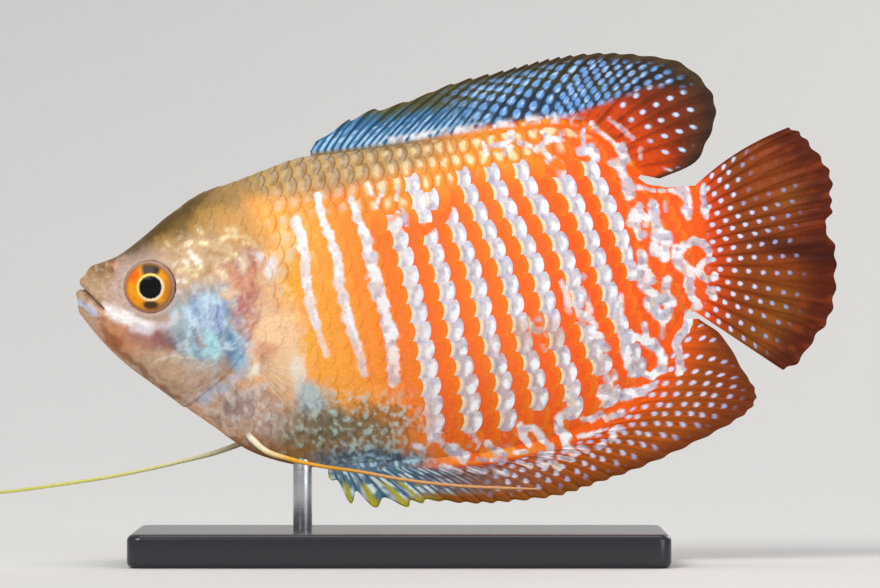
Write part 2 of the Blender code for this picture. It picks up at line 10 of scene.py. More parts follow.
import bpy
import numpy as np
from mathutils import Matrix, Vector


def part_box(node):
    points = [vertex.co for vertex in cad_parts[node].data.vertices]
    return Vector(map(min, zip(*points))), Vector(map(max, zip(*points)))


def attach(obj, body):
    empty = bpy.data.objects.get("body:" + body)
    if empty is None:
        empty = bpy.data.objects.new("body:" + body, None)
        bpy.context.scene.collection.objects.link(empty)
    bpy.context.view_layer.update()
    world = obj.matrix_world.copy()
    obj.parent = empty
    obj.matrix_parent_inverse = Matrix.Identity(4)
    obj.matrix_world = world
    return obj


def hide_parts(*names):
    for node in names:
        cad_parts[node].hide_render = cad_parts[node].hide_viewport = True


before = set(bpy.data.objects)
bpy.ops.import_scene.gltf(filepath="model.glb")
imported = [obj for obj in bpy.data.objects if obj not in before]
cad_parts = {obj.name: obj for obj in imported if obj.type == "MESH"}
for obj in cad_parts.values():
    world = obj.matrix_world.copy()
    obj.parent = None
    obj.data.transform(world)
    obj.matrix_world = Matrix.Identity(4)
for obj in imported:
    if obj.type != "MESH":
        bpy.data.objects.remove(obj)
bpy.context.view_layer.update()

bl_info = {
    "name": "Dwarf gourami",
    "version": (1, 0, 0),
    "blender": (4, 5, 0),
    "location": "View3D > Sidebar > Gourami",
    "description": "Skin, scales, fins, eyes, stand and stage of a life-size dwarf gourami",
    "category": "Object",
}

MM = 0.001
BODY = "root"
SHARP = math.radians(52)
TUBE_SIDES = 16

# The body's stations: top x and z, belly x and z, bow towards the tail, half width, keel
STATIONS = np.array([
    (1.0, 1.6, 0.6, -1.9, -0.3, 0.00, 0.0),
    (1.7, 2.9, 1.3, -2.8, -0.1, 1.55, 0.0),
    (2.9, 3.4, 2.5, -4.3, 0.0, 2.60, 0.0),
    (4.8, 4.2, 4.0, -5.9, 0.2, 3.40, 0.1),
    (7.3, 6.1, 5.9, -7.6, 0.8, 4.15, 0.1),
    (10.1, 8.5, 7.8, -9.0, 2.1, 4.70, 0.2),
    (13.2, 10.7, 9.7, -10.4, 3.8, 5.15, 0.3),
    (16.9, 12.0, 11.6, -11.8, 5.9, 5.45, 0.4),
    (20.2, 13.3, 14.5, -13.8, 5.2, 5.70, 0.5),
    (23.7, 14.5, 18.5, -16.5, 3.8, 5.80, 0.6),
    (28.4, 15.1, 23.7, -18.0, 1.9, 5.65, 0.7),
    (33.1, 15.7, 28.9, -18.1, 0.7, 5.35, 0.8),
    (38.4, 16.5, 35.2, -17.8, 0.3, 4.90, 0.9),
    (44.7, 17.3, 42.4, -17.3, 0.0, 4.25, 1.0),
    (49.9, 17.9, 48.9, -16.1, 0.0, 3.65, 1.0),
    (53.6, 17.3, 54.1, -14.3, 0.0, 3.15, 1.0),
    (56.4, 15.5, 58.3, -11.1, 0.0, 2.75, 1.0),
    (58.5, 13.1, 61.6, -6.5, 0.2, 2.30, 0.8),
    (60.0, 11.8, 64.2, -2.0, 0.3, 1.90, 0.5),
    (62.5, 11.4, 64.6, -1.8, 0.4, 1.50, 0.2),
    (64.8, 11.6, 64.8, -1.9, 0.5, 1.20, 0.0),
])
GILL_STATION = 7.0
LAST_STATION = len(STATIONS) - 1.0
WIDEST = 0.42
BOW_SAG = 1.35

# The fins' margins: share of the root passed, margin x and z, bow of the rays
DORSAL_MARGIN = np.array([
    (0.00, 25.4, 16.1, 0.0),
    (0.04, 27.7, 17.7, 0.1),
    (0.10, 30.2, 19.1, 0.2),
    (0.19, 34.8, 20.3, 0.3),
    (0.30, 40.0, 22.3, 0.4),
    (0.41, 45.2, 23.6, 0.5),
    (0.52, 50.5, 24.9, 0.6),
    (0.61, 55.1, 25.4, 0.7),
    (0.68, 59.4, 25.2, 0.8),
    (0.74, 63.7, 24.4, 0.8),
    (0.80, 66.6, 21.8, 0.6),
    (0.86, 67.4, 19.2, 0.4),
    (0.92, 66.5, 16.2, 0.2),
    (0.97, 64.6, 13.5, 0.0),
    (1.00, 61.4, 12.2, 0.0),
])
ANAL_MARGIN = np.array([
    (0.00, 26.7, -19.1, 0.0),
    (0.03, 28.9, -21.8, 0.1),
    (0.06, 31.4, -22.3, 0.1),
    (0.09, 34.7, -22.3, 0.2),
    (0.14, 37.3, -21.7, 0.2),
    (0.21, 41.7, -21.9, 0.3),
    (0.29, 45.9, -21.7, 0.3),
    (0.37, 50.8, -21.1, 0.4),
    (0.46, 55.1, -19.7, 0.5),
    (0.54, 59.8, -18.0, 0.6),
    (0.61, 64.6, -15.8, 0.7),
    (0.68, 68.8, -13.6, 0.7),
    (0.75, 71.1, -11.9, 0.6),
    (0.82, 71.6, -10.2, 0.5),
    (0.89, 70.3, -8.0, 0.3),
    (0.95, 67.9, -4.2, 0.1),
    (1.00, 65.5, -2.5, 0.0),
])
TAIL_MARGIN = np.array([
    (0.00, 75.0, 17.6, 0.6),
    (0.07, 76.2, 17.1, 0.6),
    (0.14, 77.3, 15.9, 0.5),
    (0.21, 78.7, 14.1, 0.4),
    (0.29, 79.6, 12.2, 0.3),
    (0.36, 79.5, 10.3, 0.2),
    (0.43, 79.6, 8.8, 0.1),
    (0.50, 78.9, 7.2, 0.0),
    (0.57, 79.9, 5.0, 0.0),
    (0.64, 80.0, 2.6, 0.0),
    (0.71, 79.9, -0.1, -0.1),
    (0.79, 79.2, -2.7, -0.1),
    (0.86, 77.8, -4.6, -0.1),
    (0.93, 76.1, -7.1, 0.0),
    (1.00, 74.4, -7.9, 0.0),
])
ROOT_GAP = 0.35
DORSAL_SPINES, DORSAL_RAYS = 16, 26

# The mouth, nostril and eye on the side of the head: x, z
MOUTH_LINE = [(-1.0, 2.5), (0.8, 0.7), (1.9, -0.2), (3.2, -1.5)]
NOSTRIL = (4.0, 2.6)
EYE = (8.2, 0.8)
EYE_RADIUS = 2.75
EYE_DEPTH = 1.35
EYE_TURN = math.radians(11)
EYE_SUNK = 0.5
PUPIL_AHEAD = 0.3
LENS_RISE = 0.10

# The paired fins: x, z of each root on the flank, and where the feelers run: x, y out, z
PECTORAL_ROOT = (19.9, -7.2)
PECTORAL_LENGTH = 9.2
FEELER_ROOT_AT = (18.6, -14.9)
LEFT_FEELER = [
    (20.3, -3.6, -16.3),
    (22.7, -4.1, -17.1),
    (25.8, -4.3, -17.8),
    (29.9, -4.3, -18.4),
    (34.3, -4.4, -19.2),
    (40.5, -4.7, -19.9),
    (44.7, -5.0, -20.1),
    (48.6, -5.4, -20.2),
]
RIGHT_FEELER = [
    (14.8, 4.6, -16.6),
    (11.1, 5.6, -17.6),
    (3.8, 7.0, -19.2),
    (-2.5, 7.8, -20.2),
    (-7.8, 8.4, -20.9),
    (-12.3, 8.8, -21.2),
]

# The lattice of scales: rows run along the body, and from column 8 every second column is silver
ROW_LINE = (36.8, 2.0, 0.10)
ROW_PITCH = np.array([(10, 1.3), (17, 1.55), (20, 1.7), (29, 2.0), (50, 2.05), (57, 1.8), (63, 1.35)])
COLUMN_LEAN = 0.34
LATTICE_STEP = 0.05
FIRST_ROW, LAST_ROW = -9, 10
FIRST_COLUMN, LAST_COLUMN = -9, 32

# A scale on its lattice: root, reach and half height from its middle, and how round its edge is
SCALE_ROOT = -0.85
SCALE_REACH = 0.62
SCALE_HALF = 0.6
SCALE_CURVE = 0.25


def centre(node):
    """The middle of a solid's box, in millimetres."""
    low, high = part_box(node)
    return (np.array(low) + np.array(high)) / 2 / MM


FISH_AT = centre("eye_left") * (1, 0, 1) - (EYE[0], 0, EYE[1])


# Curves, noise and colour

def spline(values, at, knots=None):
    """A smooth curve through rows of values at their knots, with each slope taken from the neighbours."""
    values = np.asarray(values, float)
    if knots is None:
        knots = np.arange(len(values))
    at = np.clip(np.atleast_1d(at), knots[0], knots[-1])
    slope = np.gradient(values, knots, axis=0)
    cell = np.clip(np.searchsorted(knots, at, side="right") - 1, 0, len(values) - 2)
    width = (knots[cell + 1] - knots[cell])[:, None]
    f = (at - knots[cell])[:, None] / width
    start = (1 + 2 * f) * (1 - f) ** 2 * values[cell] + f * (1 - f) ** 2 * width * slope[cell]
    end = f * f * (3 - 2 * f) * values[cell + 1] - f * f * (1 - f) * width * slope[cell + 1]
    return start + end


def step_up(x, low, high):
    """0 at low, 1 at high and a smooth rise between; low may be the greater."""
    f = np.clip((x - low) / (high - low), 0, 1)
    return f * f * (3 - 2 * f)


def bump(x, middle, width):
    """A bell of height 1 about a middle value."""
    return np.exp(-((x - middle) / width) ** 2)


def grain(x, z, size, seed):
    """Smooth noise from -1 to 1: seeded values at the corners of squares of a size, blended between."""
    across, up = x / size + 31.7 * seed, z / size - 17.3 * seed
    i, k = np.floor(across), np.floor(up)
    f, g = step_up(across - i, 0, 1), step_up(up - k, 0, 1)
    value = []
    for di, dk in ((0, 0), (1, 0), (0, 1), (1, 1)):
        wave = np.sin((i + di) * 127.1 + (k + dk) * 311.7 + seed * 74.7) * 43758.5453
        value.append(2 * (wave - np.floor(wave)) - 1)
    low = value[0] + (value[1] - value[0]) * f
    high = value[2] + (value[3] - value[2]) * f
    return low + (high - low) * g


def linear(colour):
    """An sRGB hex colour as linear red, green and blue."""
    part = np.array([int(colour[i:i + 2], 16) for i in (1, 3, 5)]) / 255
    return np.where(part <= 0.04045, part / 12.92, ((part + 0.055) / 1.055) ** 2.4)


def lay(under, amount, colour):
    """Colours with another laid over them by an amount from 0 to 1 at each point."""
    return over(under, amount, linear(colour))


def washed(colour, layers):
    """Colours with others laid over them in turn: the amount and the colour of each."""
    for amount, shade in layers:
        colour = lay(colour, amount, shade)
    return colour


def tinted(x, shade):
    """One colour at every place."""
    return np.broadcast_to(linear(shade), np.shape(x) + (3,)).copy()


def over(under, amount, colours):
    """Colours with others laid over them by an amount at each point."""
    return under + (colours - under) * np.clip(amount, 0, 1)[..., None]


def patch(x, z, middle, radii, turn=0.0, soft=0.5):
    """1 inside an ellipse turned by some degrees, falling to 0 at its rim over a share of its radius."""
    c, s = math.cos(math.radians(turn)), math.sin(math.radians(turn))
    dx, dz = x - middle[0], z - middle[1]
    away = np.hypot((dx * c + dz * s) / radii[0], (dz * c - dx * s) / radii[1])
    return step_up(away, 1, 1 - soft)


def from_line(x, z, line):
    """How far each place lies from a line through points."""
    away = np.full(np.shape(x), 1e9)
    for (x0, z0), (x1, z1) in zip(line[:-1], line[1:]):
        dx, dz = x1 - x0, z1 - z0
        along = np.clip(((x - x0) * dx + (z - z0) * dz) / (dx * dx + dz * dz), 0, 1)
        away = np.minimum(away, np.hypot(x - x0 - along * dx, z - z0 - along * dz))
    return away


def stroke(x, z, line, width, soft=0.6):
    """1 along a line through points, falling to 0 at half its width."""
    return step_up(from_line(x, z, line), width / 2, width / 2 * (1 - soft))


# Meshes

def make_piece(name, points, faces, paint, material, nodes=(), shine=None, unwrap=None):
    """A piece from points in the fish's frame, lists of faces with 3 or 4 corners, and colours.

    The colours go in the attribute paint and the share of mirror-like guanine in shine. unwrap holds
    a place for each point on the piece's own UV map.
    """
    points = (np.asarray(points, float).reshape(-1, 3) + FISH_AT) * MM
    faces = [np.asarray(group) for group in faces if len(group)]
    corners = np.concatenate([group.ravel() for group in faces])
    sizes = np.concatenate([np.full(len(group), group.shape[1]) for group in faces])
    mesh = bpy.data.meshes.new(name)
    mesh.vertices.add(len(points))
    mesh.vertices.foreach_set("co", points.ravel())
    mesh.loops.add(len(corners))
    mesh.loops.foreach_set("vertex_index", corners.astype(np.int32))
    mesh.polygons.add(len(sizes))
    mesh.polygons.foreach_set("loop_start", np.append(0, np.cumsum(sizes)[:-1]).astype(np.int32))
    mesh.update(calc_edges=True)
    colour = mesh.attributes.new("paint", "FLOAT_COLOR", "POINT")
    rgba = np.ones((len(points), 4), np.float32)
    rgba[:, :3] = np.clip(np.asarray(paint).reshape(-1, 3), 0, 1)
    colour.data.foreach_set("color", rgba.ravel())
    gloss = mesh.attributes.new("shine", "FLOAT", "POINT")
    level = np.zeros(len(points)) if shine is None else np.clip(np.ravel(shine), 0, 1)
    gloss.data.foreach_set("value", level.astype(np.float32))
    if unwrap is not None:
        layer = mesh.uv_layers.new(name="OFBake")
        layer.data.foreach_set("uv", np.asarray(unwrap).reshape(-1, 2)[corners].astype(np.float32).ravel())
    mesh.validate()
    mesh.shade_smooth()
    mesh.set_sharp_from_angle(angle=SHARP)
    mesh.materials.append(material)
    piece = bpy.data.objects.new(name, mesh)
    bpy.context.scene.collection.objects.link(piece)
    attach(piece, BODY)
    if nodes:
        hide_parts(*nodes)
    return piece


def grid_faces(index):
    """Quads over a grid of point numbers, facing the side where its rows run left and columns down."""
    return np.stack([index[:-1, :-1], index[:-1, 1:], index[1:, 1:], index[1:, :-1]], -1).reshape(-1, 4)


def two_faced(near, far):
    """Points and quads of a thin web from the grids of its two faces, closed round its edge."""
    columns, rows = near.shape[:2]
    index = np.arange(columns * rows).reshape(columns, rows)
    around = np.concatenate([index[:, 0], index[-1, 1:], index[::-1, -1][1:], index[0, ::-1][1:]])
    rim = np.stack([around[:-1], around[1:], around[1:] + index.size, around[:-1] + index.size], 1)
    faces = np.concatenate([grid_faces(index), grid_faces(index)[:, ::-1] + index.size, rim[:, ::-1]])
    return np.concatenate([near.reshape(-1, 3), far.reshape(-1, 3)]), faces


def tube(path, radii, sides=TUBE_SIDES):
    """Points and faces of a round tube along a path, with a point at each end: a circle carried along."""
    ahead = np.gradient(path, axis=0)
    ahead /= np.linalg.norm(ahead, axis=1)[:, None]
    side = np.cross(ahead, (0.1, 0.0, 1.0))
    side /= np.linalg.norm(side, axis=1)[:, None]
    up = np.cross(side, ahead)
    turn = np.arange(sides) / sides * 2 * math.pi
    ring = side[:, None] * np.cos(turn)[None, :, None] + up[:, None] * np.sin(turn)[None, :, None]
    points = path[:, None] + ring * np.asarray(radii)[:, None, None]
    index = np.arange(len(path) * sides).reshape(len(path), sides)
    index = np.concatenate([index, index[:, :1]], 1)
    first, last = index.max() + 1, index.max() + 2
    caps = [
        np.stack([index[0, 1:], index[0, :-1], np.full(sides, first)], 1),
        np.stack([index[-1, :-1], index[-1, 1:], np.full(sides, last)], 1),
    ]
    ends = [path[0] - ahead[0] * radii[0] * 0.6, path[-1] + ahead[-1] * radii[-1] * 0.6]
    points = np.concatenate([points.reshape(-1, 3), ends])
    return points, [grid_faces(index)[:, ::-1], *caps]


# The body's surface and the lattice of scales on it

def flank(u, share, covers=True):
    """Points of the left flank: u along the stations, share from the back (0) to the belly (1).

    Each station is a line from back to belly that bows towards the tail. Across it the half width
    falls off like an ellipse, and below the widest level it narrows more, to a keel. The gill covers
    and cheeks stand proud of that.
    """
    row = spline(np.column_stack([STATIONS[:, :5], STATIONS[:, 5] ** 2, STATIONS[:, 6]]), u)
    half = np.sqrt(np.maximum(row[:, 5:6], 0))
    keel = np.clip(row[:, 6:7], 0, 1)
    share = np.atleast_1d(share)[None, :]
    sag = share ** BOW_SAG
    bow = row[:, 4:5] * 4 * sag * (1 - sag)
    x = row[:, 0:1] + (row[:, 2:3] - row[:, 0:1]) * share + bow
    z = row[:, 1:2] + (row[:, 3:4] - row[:, 1:2]) * share
    above = 1 - np.clip((WIDEST - share) / WIDEST, 0, 1) ** 2
    below = 1 - np.clip((share - WIDEST) / (1 - WIDEST), 0, 1) ** (2 - 0.35 * keel)
    half = half * np.where(share < WIDEST, above ** 0.55, below ** (0.5 + 0.2 * keel))
    if covers:
        u = np.atleast_1d(u)[:, None]
        cover = 0.30 * step_up(u, 4.4, GILL_STATION) * step_up(share, 0.16, 0.34) * (u < GILL_STATION)
        cover = cover * (1 - step_up(u, 6.5, GILL_STATION))
        cheek = 0.16 * step_up(u, 5.3, 5.1) * step_up(u, 2.5, 4.5) * step_up(share, 0.4, 0.55)
        half = half + (cover + cheek) * step_up(share, 1.0, 0.85)
    return np.stack([x, -half, z], -1)


def outward(points):
    """Unit normals of a grid of points on the left flank, from the slopes along its rows and columns."""
    normal = np.cross(np.gradient(points, axis=1), np.gradient(points, axis=0))
    normal /= np.maximum(np.linalg.norm(normal, axis=-1, keepdims=True), 1e-9)
    normal[:, 0] = normal[:, 0] * (1, 0, 1)
    normal[:, -1] = normal[:, -1] * (1, 0, 1)
    return normal / np.maximum(np.linalg.norm(normal, axis=-1, keepdims=True), 1e-9)


def column_at(x, z):
    """Which column of the lattice a place is in: a whole even number is the middle of a silver bar."""
    lean = 0.21 * (7.86 - z) - 0.839 * ((3.15 - z) / 11.53) ** 2
    column = 2 * (x - 20.45 - lean) / (3.292 + 0.014 * (7.86 - z))
    forward = 0.58 * step_up(z, 2, 12) * step_up(x, 36, 41.5) * step_up(x, 53, 48)
    forward = forward + 0.4 * step_up(x, 57.5, 59.5) * step_up(z, 0, 3)
    back = 0.35 * step_up(z, -4.5, -9) * step_up(x, 36, 44) + 0.35 * step_up(x, 54, 57) * step_up(z, -2, -5)
    return column + forward - back


def row_at(points):
    """Which row of the lattice each point of a grid of stations is in.

    It is the length over the skin from a slightly tilted line along the flank, in row pitches.
    """
    step = np.linalg.norm(np.diff(points, axis=1), axis=2)
    length = np.concatenate([np.zeros((len(points), 1)), np.cumsum(step, 1)], 1)
    above = points[..., 2] - (ROW_LINE[1] + ROW_LINE[2] * (points[..., 0] - ROW_LINE[0]))
    last = np.clip((above > 0).sum(1) - 1, 0, points.shape[1] - 2)
    line = np.arange(len(points))
    part = above[line, last] / np.maximum(above[line, last] - above[line, last + 1], 1e-9)
    start = length[line, last] + part * step[line, last]
    pitch = np.interp(points[line, last, 0], ROW_PITCH[:, 0], ROW_PITCH[:, 1])
    return (length - start[:, None]) / pitch[:, None]


def flank_lattice():
    """The flank's places, normals, stations and shares on an even grid of rows and columns of scales.

    Along each row the stations' points are found by their length over the skin, and between these
    the columns by their lean.
    """
    stations = np.linspace(3.2, LAST_STATION, 600)
    share = (1 - np.cos(math.pi * np.linspace(0, 1, 261))) / 2
    points = flank(stations, share, covers=False)
    both = np.broadcast_arrays(stations[:, None], share[None, :])
    known = np.concatenate([points, outward(points), np.stack(both, -1)], -1)
    row = row_at(points)
    rows = np.arange(FIRST_ROW - 1, LAST_ROW + 1, LATTICE_STEP)
    columns = np.arange(FIRST_COLUMN - 1, LAST_COLUMN + 1, LATTICE_STEP)
    line = np.arange(len(stations))
    lattice = np.full((len(rows), len(columns), known.shape[-1]), np.nan)
    for number, level in enumerate(rows):
        cell = np.clip((row < level).sum(1) - 1, 0, len(share) - 2)
        part = (level - row[line, cell]) / np.maximum(row[line, cell + 1] - row[line, cell], 1e-9)
        part = np.clip(part, 0, 1)[:, None]
        found = known[line, cell] * (1 - part) + known[line, cell + 1] * part
        column = np.maximum.accumulate(column_at(found[:, 0], found[:, 2]))
        for channel in range(known.shape[-1]):
            lattice[number, :, channel] = np.interp(columns, column, found[:, channel], np.nan, np.nan)
    ends = np.stack([row[:, 0], row[:, -1]], 1)
    reach = [column_at(points[:, side, 0], points[:, side, 2]) for side in (0, -1)]
    top = np.interp(columns, np.maximum.accumulate(reach[0]), ends[:, 0])
    bottom = np.interp(columns, np.maximum.accumulate(reach[1]), ends[:, 1])
    return lattice, columns, top, bottom


def on_lattice(lattice, column, row):
    """Values of the lattice at any columns and rows, blended between its four nearest points."""
    across = (column - (FIRST_COLUMN - 1)) / LATTICE_STEP
    down = (row - (FIRST_ROW - 1)) / LATTICE_STEP
    i = np.clip(np.floor(across).astype(int), 0, lattice.shape[1] - 2)
    k = np.clip(np.floor(down).astype(int), 0, lattice.shape[0] - 2)
    f, g = (across - i)[..., None], (down - k)[..., None]
    low = lattice[k, i] * (1 - f) + lattice[k, i + 1] * f
    high = lattice[k + 1, i] * (1 - f) + lattice[k + 1, i + 1] * f
    return low * (1 - g) + high * g


def flank_y(x, z):
    """How far the flank stands out from the middle at a place seen from the side."""
    points = flank(np.linspace(0.5, LAST_STATION, 400), np.linspace(0.01, 0.99, 200)).reshape(-1, 3)
    nearest = np.argmin((points[:, 0] - x) ** 2 + (points[:, 2] - z) ** 2)
    return -points[nearest, 1]


# Markings of the body, shared by the skin, the scales and the feet of the fins

# Where each silver bar begins below the back and ends above the belly: column, row. The bars in front of
# column 8 are drawn as lines, and none follows column 22.
BAR_TOPS = np.array([
    (8, -3.0), (10, -5.6), (12, -3.4), (14, -5.4), (16, -5.4), (18, -5.4), (20, -4.8), (22, -5.2),
])
BAR_FEET = np.array([
    (6, -30), (8, 8.8), (10, 8.8), (12, 8.6), (14, 7.6), (16, 8.2), (18, 8.4), (20, 7.4), (22, 1.4),
    (24, -30),
])

# Above this line each orange scale of the upper flank shows a pale oval: x, z
NET_EDGE = np.array([(19, -2.0), (22, -1.0), (24.5, 8.4), (34, 9.0), (39, 11.6), (45, 13.6), (52, 15.2)])

# Where the bars join and fade: how silver, column and row, radii
MAZE = [
    (1.0, (10.9, -4.0), (1.2, 0.7)),
    (0.5, (15.0, 3.4), (0.9, 0.8)),
    (0.5, (18.0, 3.0), (1.1, 1.2)),
    (0.5, (18.0, 7.0), (0.8, 0.7)),
]

